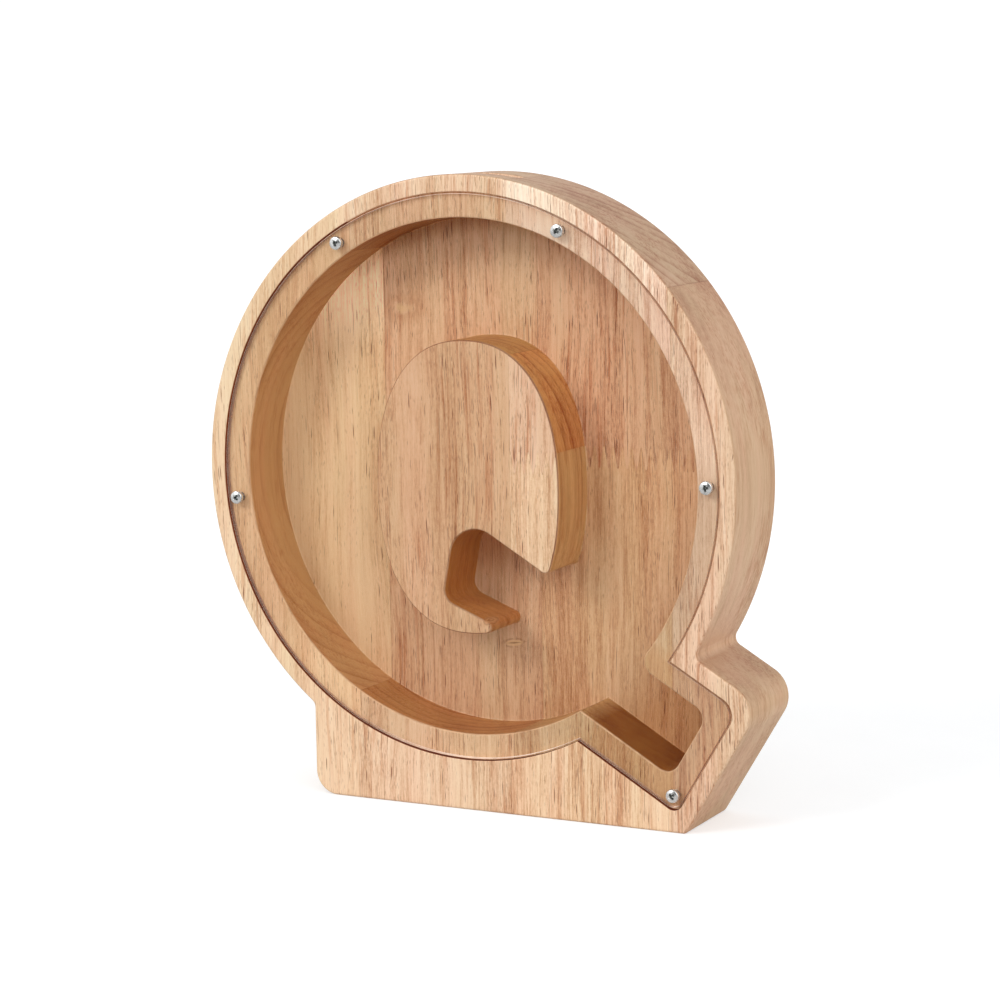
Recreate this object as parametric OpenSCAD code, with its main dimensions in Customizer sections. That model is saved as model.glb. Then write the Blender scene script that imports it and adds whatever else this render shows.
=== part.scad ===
// Wooden money box in the form of a bold letter with a glazed front.
// The body is one block of edge-glued rubberwood staves, routed out from the
// front. A clear acrylic window lies in a shallow rebate and is held by five
// small pan-head screws. Coins drop in through a slot in the top of the rim.
//
// Frame: X to the right, Y from front to back, Z up, millimetres.
// Origin: on the surface it stands on, in the middle of its width and depth.

/* [Bowl] */
// Half width of the round bowl of the letter
bowl_rx = 96.8; // [90:0.1:105]
// Half height of the round bowl of the letter
bowl_rz = 99.3; // [92:0.1:106]
// Height of the bowl's centre above the table
bowl_z = 110.7; // [106:0.1:116]

/* [Tail] */
// Slope of the tail below the horizontal, in degrees
tail_angle = 30.8; // [28:0.1:34]
// Distance from the bowl's centre to the end face of the tail
tail_reach = 124.4; // [118:0.1:130]
// Distance of the tail's upper face below the bowl's centre, square to the tail
tail_top = 3.6; // [1:0.1:8]
// Width of the tail across its own axis
tail_w = 52.9; // [48:0.1:56]
// Radius of the tail's outer corner
tail_corner_r = 10; // [4:0.5:14]

/* [Foot] */
// Distance from the bowl's centre to the left side of the foot
foot_left = 58; // [50:0.5:66]
// Radius of the foot's lower left corner
foot_corner_r = 8; // [3:0.5:12]
// Radius of the hollow corners of the outline
hollow_r = 3; // [1:0.5:5]

/* [Block] */
// Thickness of the block from front to back
depth = 34; // [30:0.5:44]
// Width of the rim outside the window
rim_w = 5.6; // [4.5:0.1:7]
// Width of the ledge that the window rests on
ledge_w = 8.4; // [8:0.1:10]
// Depth of the rebate for the window
rebate_d = 2.2; // [2.1:0.1:3.2]
// Depth of the coin chamber, from the front face
chamber_d = 24; // [18:0.5:26]
// Corner radius that the router leaves in the chamber
cutter_r = 4.8; // [3:0.2:6]

/* [Island] */
// Half width of the island in the middle of the chamber
island_rx = 33.5; // [28:0.5:38]
// Half height of the island
island_rz = 48.5; // [42:0.5:52]
// Squareness of the island's oval: 2 is an ellipse
island_n = 2.3; // [2:0.1:3]
// Height of the island's centre above the table
island_z = 107.7; // [104:0.1:111]

/* [Coin slot] */
// Length of the coin slot
slot_l = 34; // [28:0.5:38]
// Width of the coin slot
slot_w = 5; // [4.6:0.1:6]
// Distance of the slot's middle behind the front face
slot_y = 13.5; // [10:0.5:18]

/* [Window] */
// Thickness of the acrylic
window_t = 2; // [1.5:0.1:2.1]
// Gap between the window and the rebate, all round
window_gap = 0.4; // [0.3:0.05:0.8]
// Diameter of the holes in the window
window_hole_d = 3.2; // [3.2:0.1:3.6]

/* [Screws] */
// Head diameter
head_d = 4.6; // [4:0.1:5.2]
// Head height
head_h = 1.7; // [1.4:0.1:2.2]
// Shank diameter
shank_d = 2.6; // [2.2:0.1:2.6]
// Length under the head
screw_l = 10; // [8:0.5:12]
// Radial clearance of the shank in its pilot hole
pilot_gap = 0.05; // [0.02:0.01:0.1]
// Distance of the screws inside the edge of the window
screw_inset = 4.2; // [3.8:0.1:5]

/* [Staves] */
// First glue line, from the bowl's centre
seam_1 = -41; // [-50:0.5:-30]
// Second glue line
seam_2 = 17; // [10:0.5:20]
// Third glue line
seam_3 = 74; // [68:0.5:78]
// Height of the finger joint in the third stave
finger_z = 120.5; // [112:0.5:130]
// Length of the fingers
finger_l = 7; // [5:0.5:9]
// Number of fingers across the third stave
finger_n = 17; // [12:1:20]

/* [Hidden] */

fn_big = 144;
fn_small = 32;
eps = 0.01;

// Wood and metal colours
wood_a = [0.85, 0.68, 0.50];
wood_b = [0.80, 0.62, 0.44];
wood_c = [0.83, 0.64, 0.47];
wood_d = [0.79, 0.60, 0.43];
clear = [0.90, 0.93, 0.95, 0.35];
steel = [0.75, 0.76, 0.78];

// Tail directions: along it, down to the right, and across it, up to the right
tail_u = [cos(tail_angle), -sin(tail_angle)];
tail_v = [sin(tail_angle), cos(tail_angle)];

// Outermost point of the tail's rounded corner, from the bowl's centre
tail_max = (tail_reach - tail_corner_r) * tail_u[0]
         + (-tail_top - tail_corner_r) * tail_v[0] + tail_corner_r;
// The bowl's centre, placed so that the whole width is centred on X = 0
bowl_x = (bowl_rx - tail_max) / 2;

// Depths, with the screw heads and the back equally far from Y = 0
head_out = head_h - (rebate_d - window_t);
y_front = -(depth - head_out) / 2;
y_back = y_front + depth;
y_ledge = y_front + rebate_d;
y_floor = y_front + chamber_d;
y_glass = y_ledge - window_t;

// ---------- plane geometry ----------

function unit(v) = v / norm(v);

// One rounded corner at b, between a and c, as a list of points
function corner(a, b, c, r, n = 8) =
    r <= 0 ? [b] :
    let (u = unit(a - b), v = unit(c - b), h = acos(u * v) / 2,
         m = b + unit(u + v) * (r / sin(h)),
         p = b + u * (r / tan(h)) - m, q = b + v * (r / tan(h)) - m,
         s = atan2(p[1], p[0]), e = atan2(q[1], q[0]),
         w = (e - s + 540) % 360 - 180)
    [for (i = [0:n]) m + r * [cos(s + w * i / n), sin(s + w * i / n)]];

// A polygon's points with a radius at every corner
function rounded(pts, rad, n = 8) =
    let (k = len(pts))
    [for (i = [0:k - 1]) each corner(pts[(i + k - 1) % k], pts[i], pts[(i + 1) % k], rad[i], n)];

// A point in the tail's own directions, from the bowl's centre
function tail_pt(u, v) = [bowl_x, bowl_z] + u * tail_u + v * tail_v;

// A point of the oval of the island
function oval_pt(a, rx, rz, n) =
    [rx * sign(cos(a)) * pow(abs(cos(a)), 2 / n), rz * sign(sin(a)) * pow(abs(sin(a)), 2 / n)];

// The bowl, drawn inwards by a distance
module bowl_2d(inset) {
    translate([bowl_x, bowl_z])
        scale([(bowl_rx - inset) / (bowl_rz - inset), 1])
            circle(r = bowl_rz - inset, $fn = fn_big);
}

// The tail, drawn inwards by a distance, from v_lo to v_hi across it
module tail_2d(inset, r_up, r_low, v_hi = 0, v_lo = 0) {
    top = -tail_top - inset + v_hi;
    low = -tail_top - tail_w + inset + v_lo;
    far = tail_reach - inset;
    polygon(rounded([tail_pt(45, low), tail_pt(far, low), tail_pt(far, top), tail_pt(45, top)],
                    [0, r_low, r_up, 0]));
}

// The foot: flat underneath, rounded at its lower left corner
module foot_2d() {
    polygon(rounded([[bowl_x - foot_left, 0], [bowl_x + 76, 0],
                     [bowl_x + 60, 45], [bowl_x - foot_left, 45]],
                    [foot_corner_r, 0, 0, 0]));
}

// The outline of the whole block
module outline_2d() {
    intersection() {
        offset(r = -hollow_r, $fn = fn_small) offset(delta = hollow_r)
            union() {
                bowl_2d(0);
                tail_2d(0, tail_corner_r, 0);
                foot_2d();
            }
        translate([-150, 0]) square([300, 260]);
    }
}

// The outline of the rebate and, with the gap, of the window
module glazing_2d(inset) {
    union() {
        bowl_2d(inset);
        tail_2d(inset, 6, 3.5);
    }
}

// The island: an oval with the start of the tail cut into it
module island_2d() {
    offset(r = 2, $fn = fn_small) offset(delta = -2)
        difference() {
            translate([bowl_x + 0.8, island_z])
                polygon([for (i = [0:95]) oval_pt(i * 3.75, island_rx, island_rz, island_n)]);
            polygon(rounded([tail_pt(70, -10.9), tail_pt(70, -70),
                             [bowl_x + 24, 57], [bowl_x - 8.8, 70.2], [bowl_x - 3.1, 99.9]],
                            [0, 0, 0, 5, 9.8]));
        }
}

// The chamber, round the island and down the tail
module chamber_2d() {
    inset = rim_w + ledge_w;
    difference() {
        union() {
            offset(r = -5, $fn = fn_small) offset(delta = 5)
                union() {
                    bowl_2d(inset);
                    tail_2d(inset, cutter_r, 0, 0, 12);
                }
            tail_2d(inset, cutter_r, cutter_r);
        }
        island_2d();
    }
}

// ---------- solids ----------

// A plane outline in X and Z, given thickness from y0 back to y1
module slab(y0, y1) {
    translate([0, y1, 0]) rotate([90, 0, 0]) linear_extrude(y1 - y0) children();
}

// A cylinder along Y at a point [x, z], from y0 back to y1
module bore(p, d, y0, y1) {
    translate([p[0], y1, p[1]]) rotate([90, 0, 0]) cylinder(d = d, h = y1 - y0, $fn = 48);
}

// Screw positions, in the middle of the ledge
function ring_pt(a) = [bowl_x + (bowl_rx - rim_w - screw_inset) * cos(a),
                       bowl_z + (bowl_rz - rim_w - screw_inset) * sin(a)];
p_top_left = ring_pt(121);
p_top_right = ring_pt(65.3);
p_left = ring_pt(186.5);
p_right = ring_pt(1);
p_tail = tail_pt(tail_reach - rim_w - 4.2, -tail_top - tail_w + rim_w + 4.6);
screw_pts = [p_top_left, p_top_right, p_left, p_right, p_tail];

// The coin slot, cut with a round cutter, so its ends are round
module coin_slot(h) {
    translate([-(slot_l - slot_w) / 2, -slot_w / 2, 0]) cube([slot_l - slot_w, slot_w, h]);
    for (s = [-1, 1])
        translate([s * (slot_l - slot_w) / 2, 0, 0]) cylinder(d = slot_w, h = h, $fn = 48);
}

// The whole block before it is divided into staves
module block() {
    difference() {
        slab(y_front, y_back) outline_2d();
        // rebate for the window
        slab(y_front - 1, y_ledge) glazing_2d(rim_w);
        // coin chamber
        slab(y_ledge - 1, y_floor) chamber_2d();
        // coin slot, through the top of the rim
        translate([bowl_x, y_front + slot_y, bowl_z + bowl_rz - 25]) coin_slot(40);
        // pilot holes
        for (p = screw_pts)
            bore(p, shank_d + 2 * pilot_gap, y_ledge - 0.5, y_ledge + screw_l - window_t + 1.5);
    }
}

// Fingers across a stave from x0 to x1: the line that both lengths share
function fingers(x0, x1, z, n) =
    let (p = (x1 - x0) / n, f = p * 0.08)
    concat([[x0, z]],
           [for (i = [0:n - 1]) each [[x0 + p * i + f, z],
                                      [x0 + p * (i + 0.5) - f, z - finger_l],
                                      [x0 + p * (i + 0.5) + f, z - finger_l],
                                      [x0 + p * (i + 1) - f, z]]],
           [[x1, z]]);

// The part of the block between two glue lines, and between two heights
module stave(x0, x1) {
    intersection() {
        block();
        translate([x0, y_front - 1, -1]) cube([x1 - x0, depth + 2, 230]);
    }
}
module stave_above(x0, x1, z, n) {
    intersection() {
        block();
        slab(y_front - 1, y_back + 1)
            polygon(concat(fingers(x0, x1, z, n), [[x1, 230], [x0, 230]]));
    }
}
module stave_below(x0, x1, z, n) {
    intersection() {
        block();
        slab(y_front - 1, y_back + 1)
            polygon(concat(fingers(x0, x1, z, n), [[x1, -1], [x0, -1]]));
    }
}

x_a = bowl_x + seam_1;
x_b = bowl_x + seam_2;
x_c = bowl_x + seam_3;

module stave_left() { color(wood_a) stave(-150, x_a); }
module stave_centre_left() { color(wood_b) stave(x_a, x_b); }
module stave_centre_right_upper() { color(wood_d) stave_above(x_b, x_c, finger_z, finger_n); }
module stave_centre_right_lower() { color(wood_a) stave_below(x_b, x_c, finger_z, finger_n); }
module stave_right() { color(wood_c) stave(x_c, 150); }

// The window: one sheet, cut to the letter, with five clearance holes
module window() {
    color(clear)
    difference() {
        slab(y_glass, y_ledge) glazing_2d(rim_w + window_gap);
        for (p = screw_pts) bore(p, window_hole_d, y_glass - 1, y_ledge + 1);
    }
}

// A pan-head screw with a cross recess, its head against the window
module screw(p) {
    dome_r = (head_d * head_d / 4 + head_h * head_h) / (2 * head_h) * 1.08;
    color(steel)
    translate([p[0], y_glass, p[1]]) rotate([90, 0, 0])
    difference() {
        union() {
            // head
            intersection() {
                cylinder(d = head_d, h = head_h, $fn = 48);
                translate([0, 0, head_h - dome_r]) sphere(r = dome_r, $fn = 96);
            }
            // shank and point
            translate([0, 0, -(screw_l - 1.8)]) cylinder(d = shank_d, h = screw_l - 1.8 + eps, $fn = 48);
            translate([0, 0, -screw_l]) cylinder(d1 = 0.4, d2 = shank_d, h = 1.8, $fn = 48);
        }
        // cross recess
        for (a = [45, 135]) rotate([0, 0, a])
            translate([-head_d * 0.27, -0.3, head_h - 1.05]) cube([head_d * 0.54, 0.6, 2]);
        translate([0, 0, head_h - 1.05]) cylinder(d = 1, h = 2, $fn = 24);
    }
}

module screw_top_left() { screw(p_top_left); }
module screw_top_right() { screw(p_top_right); }
module screw_left() { screw(p_left); }
module screw_right() { screw(p_right); }
module screw_tail() { screw(p_tail); }

stave_left();
stave_centre_left();
stave_centre_right_upper();
stave_centre_right_lower();
stave_right();
window();
screw_top_left();
screw_top_right();
screw_left();
screw_right();
screw_tail();
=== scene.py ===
import math

import bmesh
import bpy
import numpy as np
from mathutils import Matrix, Vector
from mathutils.geometry import tessellate_polygon


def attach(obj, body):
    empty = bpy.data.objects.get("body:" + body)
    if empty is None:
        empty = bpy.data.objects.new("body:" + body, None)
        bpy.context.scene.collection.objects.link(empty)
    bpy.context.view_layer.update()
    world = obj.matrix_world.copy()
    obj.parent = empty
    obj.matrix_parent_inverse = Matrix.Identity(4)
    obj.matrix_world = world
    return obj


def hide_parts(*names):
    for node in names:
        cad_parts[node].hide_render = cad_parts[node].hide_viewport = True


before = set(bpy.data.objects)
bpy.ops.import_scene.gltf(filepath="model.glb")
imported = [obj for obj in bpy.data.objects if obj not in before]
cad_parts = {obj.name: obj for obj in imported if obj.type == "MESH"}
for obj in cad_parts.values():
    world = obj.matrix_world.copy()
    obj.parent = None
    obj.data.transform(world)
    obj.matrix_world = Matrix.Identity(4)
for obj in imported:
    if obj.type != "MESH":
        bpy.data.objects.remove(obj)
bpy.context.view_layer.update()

# ------------------------------------------------------------------ plane geometry (millimetres)

# ---- dimensions, metres would be too fine to read: millimetres here, scaled at the end
BOWL_RX, BOWL_RZ, BOWL_Z = 96.8, 99.3, 110.7
TA = math.radians(30.8)
TU = np.array([math.cos(TA), -math.sin(TA)])
TV = np.array([math.sin(TA), math.cos(TA)])
T_REACH, T_TOP, T_W, T_R = 124.4, 3.6, 52.9, 10.0
FOOT_L, FOOT_R, HOLLOW = 58.0, 8.0, 3.0
DEPTH, RIM, LEDGE, REB, CHAM, CUT = 34.0, 5.6, 8.4, 2.2, 24.0, 4.8
ISL_RX, ISL_RZ, ISL_N, ISL_Z, ISL_X = 33.5, 48.5, 2.3, 107.7, 0.8
GAP, WIN_T, WIN_HOLE = 0.4, 2.0, 3.2
HEAD_D, HEAD_H, SHANK, SCREW_L = 4.6, 1.7, 2.6, 10.0
TAIL_MAX = (T_REACH - T_R) * TU[0] + (-T_TOP - T_R) * TV[0] + T_R
BX = (BOWL_RX - TAIL_MAX) / 2
C0 = np.array([BX, BOWL_Z])
YF = -(DEPTH - (HEAD_H - (REB - WIN_T))) / 2
YB = YF + DEPTH
Y_LEDGE, Y_FLOOR, Y_GLASS = YF + REB, YF + CHAM, YF + REB - WIN_T


def tp(u, v):
    return C0 + u * TU + v * TV


def ell(a, rx, rz, c=C0):
    return np.array([c[0] + rx * math.cos(a), c[1] + rz * math.sin(a)])


def ell_n(a, rx, rz):
    n = np.array([math.cos(a) / rx, math.sin(a) / rz])
    return n / np.hypot(*n)


def sup(a, n=ISL_N):
    c, s = math.cos(a), math.sin(a)
    return np.array([BX + ISL_X + ISL_RX * np.sign(c) * abs(c) ** (2 / n), ISL_Z + ISL_RZ * np.sign(s) * abs(s) ** (2 / n)])


def sup_n(a, n=ISL_N):
    c, s = math.cos(a), math.sin(a)
    v = np.array([np.sign(c) * abs(c) ** (2 - 2 / n) / ISL_RX, np.sign(s) * abs(s) ** (2 - 2 / n) / ISL_RZ])
    return v / np.hypot(*v)


def root(f, a, b):
    """where f changes sign between a and b"""
    fa = f(a)
    for _ in range(80):
        m = (a + b) / 2
        fm = f(m)
        if (fm > 0) == (fa > 0):
            a, fa = m, fm
        else:
            b = m
    return (a + b) / 2


def arc(c, r, a0, a1, step=0.5):
    """points on a circle from a0 to a1, the short way"""
    w = (a1 - a0 + 3 * math.pi) % (2 * math.pi) - math.pi
    n = max(3, int(abs(w) * r / step) + 2)
    return [c + r * np.array([math.cos(a0 + w * i / n), math.sin(a0 + w * i / n)]) for i in range(n + 1)]


def corner(a, b, c, r, step=0.5):
    u, v = (a - b) / np.hypot(*(a - b)), (c - b) / np.hypot(*(c - b))
    h = math.acos(max(-1, min(1, float(u @ v)))) / 2
    m = b + (u + v) / np.hypot(*(u + v)) * (r / math.sin(h))
    p, q = b + u * (r / math.tan(h)) - m, b + v * (r / math.tan(h)) - m
    return arc(m, r, math.atan2(p[1], p[0]), math.atan2(q[1], q[0]), step)


def curve(f, a0, a1, step=1.0):
    """points along f from a0 to a1, about step apart"""
    t = np.linspace(a0, a1, 2000)
    p = np.array([f(x) for x in t])
    s = np.r_[0, np.cumsum(np.hypot(*np.diff(p, axis=0).T))]
    n = max(2, int(round(s[-1] / step)))
    tt = np.interp(np.linspace(0, s[-1], n + 1), s, t)
    return [f(x) for x in tt]


def blend(f, fn, p, d, nrm, r, side, lo, hi):
    """A circle of radius r that touches the curve f (outward normal fn) and the line through p along d, whose normal is nrm.
    side +1: it lies outside both; -1: inside both. Returns (curve parameter, centre, touching point on the line)."""
    g = lambda a: float((f(a) + side * r * fn(a) - p) @ nrm) - side * r
    a = root(g, lo, hi)
    c = f(a) + side * r * fn(a)
    return a, c, c - side * r * nrm


def dense(pts, step=1.0):
    """long straight stretches get points too; repeats go"""
    out = []
    k = len(pts)
    for i in range(k):
        a, b = pts[i], pts[(i + 1) % k]
        L = np.hypot(*(b - a))
        if L < 1e-6:
            continue
        n = max(1, int(round(L / step)))
        out += [a + (b - a) * j / n for j in range(n)]
    return np.array(out)


def outline(step=1.0):
    """The block's outline, anticlockwise seen from the front."""
    f, fn = (lambda a: ell(a, BOWL_RX, BOWL_RZ)), (lambda a: ell_n(a, BOWL_RX, BOWL_RZ))
    pts = []
    # notch between bowl and tail
    a1, c1, q1 = blend(f, fn, tp(0, -T_TOP), TU, TV, HOLLOW, +1, math.radians(-10), math.radians(-60))
    # foot's left side
    xl = BX - FOOT_L
    a2, c2, q2 = blend(f, fn, np.array([xl, 0.0]), np.array([0, 1.0]), np.array([-1.0, 0]), HOLLOW, +1, math.radians(250), math.radians(200))
    pts += curve(f, a1, a2, step)  # over the top, anticlockwise
    p, q = f(a2) - c2, q2 - c2
    pts += arc(c2, HOLLOW, math.atan2(p[1], p[0]), math.atan2(q[1], q[0]))
    base_r = tp(T_REACH, 0)
    k = base_r[1] / TU[0]  # down the end line to z = 0
    e0 = base_r - TV * k
    pts += corner(np.array([xl, 40.0]), np.array([xl, 0.0]), np.array([0.0, 0.0]), FOOT_R)
    pts += corner(np.array([0.0, 0.0]), e0, tp(T_REACH, -T_TOP), 1.4, 0.25)
    pts += corner(e0, tp(T_REACH, -T_TOP), tp(0, -T_TOP), T_R)
    p, q = q1 - c1, f(a1) - c1
    pts += arc(c1, HOLLOW, math.atan2(p[1], p[0]), math.atan2(q[1], q[0]))
    return dense(pts, step)


def glazing(inset, step=1.0, r_up=6.0, r_low=3.5):
    rx, rz = BOWL_RX - inset, BOWL_RZ - inset
    f = lambda a: ell(a, rx, rz)
    top, low, far = -T_TOP - inset, -T_TOP - T_W + inset, T_REACH - inset
    a1 = root(lambda a: float((f(a) - C0) @ TV) - top, math.radians(-10), math.radians(-60))
    a2 = root(lambda a: float((f(a) - C0) @ TV) - low, math.radians(-30.8 + 3), math.radians(-30.8 - 60))
    pts = curve(f, a1, a2 + 2 * math.pi, step)
    pts += corner(f(a2), tp(far, low), tp(far, top), r_low)
    pts += corner(tp(far, low), tp(far, top), f(a1), r_up)
    return dense(pts, step)


def chamber(step=1.0):
    inset = RIM + LEDGE
    rx, rz = BOWL_RX - inset, BOWL_RZ - inset
    f, fn = (lambda a: ell(a, rx, rz)), (lambda a: ell_n(a, rx, rz))
    top, low, far = -T_TOP - inset, -T_TOP - T_W + inset, T_REACH - inset
    a1, c1, q1 = blend(f, fn, tp(0, top), TU, TV, 5.0, +1, math.radians(-10), math.radians(-60))
    a2 = root(lambda a: float((f(a) - C0) @ TV) - low, math.radians(-30.8), math.radians(-30.8 - 60))
    pts = curve(f, a1, a2 + 2 * math.pi, step)
    pts += corner(f(a2), tp(far, low), tp(far, top), CUT)
    pts += corner(tp(far, low), tp(far, top), q1, CUT)
    p, q = q1 - c1, f(a1) - c1
    pts += arc(c1, 5.0, math.atan2(p[1], p[0]), math.atan2(q[1], q[0]))
    return dense(pts, step)


def island(step=1.0, r=2.0):
    A, B, C = np.array([BX + 24, 57.0]), np.array([BX - 8.8, 70.2]), np.array([BX - 3.1, 99.9])
    lo_d = (A - B) / np.hypot(*(A - B))
    lo_n = np.array([-lo_d[1], lo_d[0]])
    v = -10.9
    # right tip: between the oval and the tail's upper line (island above the line)
    f, fn = sup, sup_n
    a1, c1, q1 = blend(f, fn, tp(0, v), TU, -TV, r, -1, math.radians(0), math.radians(-75))
    # lower tip: island below the line A-B
    a2, c2, q2 = blend(f, fn, B, lo_d, lo_n, r, -1, math.radians(-89), math.radians(-40))
    pts = curve(f, a1, a2 + 2 * math.pi, step)
    p, q = f(a2) - c2, q2 - c2
    pts += arc(c2, r, math.atan2(p[1], p[0]), math.atan2(q[1], q[0]))
    pts += corner(q2, B, C, 5.0)
    pts += corner(B, C, q1, 9.8)
    p, q = q1 - c1, f(a1) - c1
    pts += arc(c1, r, math.atan2(p[1], p[0]), math.atan2(q[1], q[0]))
    return dense(pts, step)


def ring_pt(a):
    a = math.radians(a)
    return np.array([BX + (BOWL_RX - RIM - 4.2) * math.cos(a), BOWL_Z + (BOWL_RZ - RIM - 4.2) * math.sin(a)])


SCREWS = {"screw_top_left": ring_pt(121), "screw_top_right": ring_pt(65.3), "screw_left": ring_pt(186.5), "screw_right": ring_pt(1), "screw_tail": tp(T_REACH - RIM - 4.2, -T_TOP - T_W + RIM + 4.6)}

MM = 0.001
scene = bpy.context.scene
coll = scene.collection


# ------------------------------------------------------------------ mesh helpers
def shift(P, d):
    """A closed anticlockwise loop moved outwards by d, mitred at its corners."""
    e = np.roll(P, -1, 0) - P
    e /= np.hypot(e[:, 0], e[:, 1])[:, None]
    n = np.c_[e[:, 1], -e[:, 0]]
    m = np.roll(n, 1, 0)
    s = 1 + (n * m).sum(1)
    return P + d * (n + m) / np.maximum(s, 0.35)[:, None]


def circle(c, r, n=48):
    return np.array([[c[0] + r * math.cos(2 * math.pi * i / n), c[1] + r * math.sin(2 * math.pi * i / n)] for i in range(n)])


class Shell:
    """A closed surface made of loops in X and Z at depths Y, walls between them and flat caps."""

    def __init__(self):
        self.v, self.f, self.mat = [], [], []

    def loop(self, P, y):
        k = len(self.v)
        yy = np.full(len(P), y) if np.isscalar(y) else y
        self.v += [(p[0], q, p[1]) for p, q in zip(P, yy)]
        return list(range(k, k + len(P)))

    def wall(self, a, b, mat=0):
        n = len(a)
        for i in range(n):
            j = (i + 1) % n
            self.f.append((a[i], a[j], b[j], b[i]))
            self.mat.append(mat)

    def cap(self, loops, mat=0):
        flat = [i for l in loops for i in l]
        tri = tessellate_polygon([[Vector((self.v[i][0], self.v[i][2], 0)) for i in l] for l in loops])
        for t in tri:
            self.f.append(tuple(flat[i] for i in t))
            self.mat.append(mat)

    def mesh(self, name, merge=0.0):
        me = bpy.data.meshes.new(name)
        me.from_pydata([tuple(c * MM for c in v) for v in self.v], [], self.f)
        me.validate()
        bm = bmesh.new()
        bm.from_mesh(me)
        if merge:
            bmesh.ops.remove_doubles(bm, verts=bm.verts, dist=merge * MM)
        for f, m in zip(bm.faces, self.mat):
            f.material_index = m
        bmesh.ops.recalc_face_normals(bm, faces=bm.faces)
        bad = [e for e in bm.edges if not e.is_manifold]
        if bad:
            print(name, "open edges:", len(bad))
        bm.to_mesh(me)
        bm.free()
        return me


def obj_of(me, name):
    o = bpy.data.objects.new(name, me)
    coll.objects.link(o)
    return o


def boolean(me, cutter, op, name="tmp"):
    """me with a boolean against the mesh cutter, as a new mesh."""
    a, b = obj_of(me, name), obj_of(cutter, name + "_cut")
    m = a.modifiers.new("b", "BOOLEAN")
    m.operation, m.solver, m.object = op, "MANIFOLD", b
    dg = bpy.context.evaluated_depsgraph_get()
    out = bpy.data.meshes.new_from_object(a.evaluated_get(dg))
    bpy.data.objects.remove(a)
    bpy.data.objects.remove(b)
    return out


def smooth(o, angle=32, weighted=True):
    me = o.data
    for p in me.polygons:
        p.use_smooth = True
    me.set_sharp_from_angle(angle=math.radians(angle))
    if weighted:
        m = o.modifiers.new("WeightedNormal", "WEIGHTED_NORMAL")
        m.keep_sharp = True
        m.weight = 60


def prism(P, y0, y1, name):
    s = Shell()
    a, b = s.loop(P, y0), s.loop(P, y1)
    s.wall(a, b)
    s.cap([a])
    s.cap([b])
    return s.mesh(name)


# ------------------------------------------------------------------ the block
def rounding(s, P, y, r, out, back, n=5):
    """Loops that round an edge between a flat at depth y and a wall at outline P. out: +1 where the flat lies inside the
    outline (a solid's outer edge), -1 where it lies outside (the mouth of a hollow). back: the wall's way from the flat."""
    L = []
    for i in range(n + 1):
        a = math.pi / 2 * i / n
        L.append(s.loop(shift(P, -out * r * (1 - math.sin(a))), y + back * r * (1 - math.cos(a))))
    return L


def make_block():
    s = Shell()
    OUT, REBATE, CH, ISL = outline(), glazing(RIM), chamber(), island()
    outer_b = rounding(s, OUT, YB, 0.9, +1, -1)
    outer_f = rounding(s, OUT, YF, 0.9, +1, +1)
    reb = rounding(s, REBATE, YF, 0.35, -1, +1, 3)
    reb_b = s.loop(REBATE, Y_LEDGE)
    ch = rounding(s, CH, Y_LEDGE, 0.55, -1, +1, 4)
    # a small radius where the chamber's walls meet its floor
    ch_f = [s.loop(shift(CH, -0.5 * (1 - math.cos(t))), Y_FLOOR - 0.5 * (1 - math.sin(t))) for t in (0, math.pi / 6, math.pi / 3, math.pi / 2)]
    isl = rounding(s, ISL, Y_LEDGE, 0.6, +1, +1, 4)
    isl_f = [s.loop(shift(ISL, 0.5 * (1 - math.cos(t))), Y_FLOOR - 0.5 * (1 - math.sin(t))) for t in (0, math.pi / 6, math.pi / 3, math.pi / 2)]
    s.cap([outer_b[0]])
    for L in (outer_b, outer_f, reb, ch, ch_f, isl, isl_f):
        for a, b in zip(L, L[1:]):
            s.wall(a, b)
    s.wall(outer_b[-1], outer_f[-1])
    s.cap([outer_f[0], reb[0]])
    s.wall(reb[-1], reb_b)
    s.cap([reb_b, ch[0]])
    s.wall(ch[-1], ch_f[0])
    s.cap([ch_f[-1], isl_f[-1]])
    s.wall(isl_f[0], isl[-1])
    s.cap([isl[0]])
    return s.mesh("block")


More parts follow.
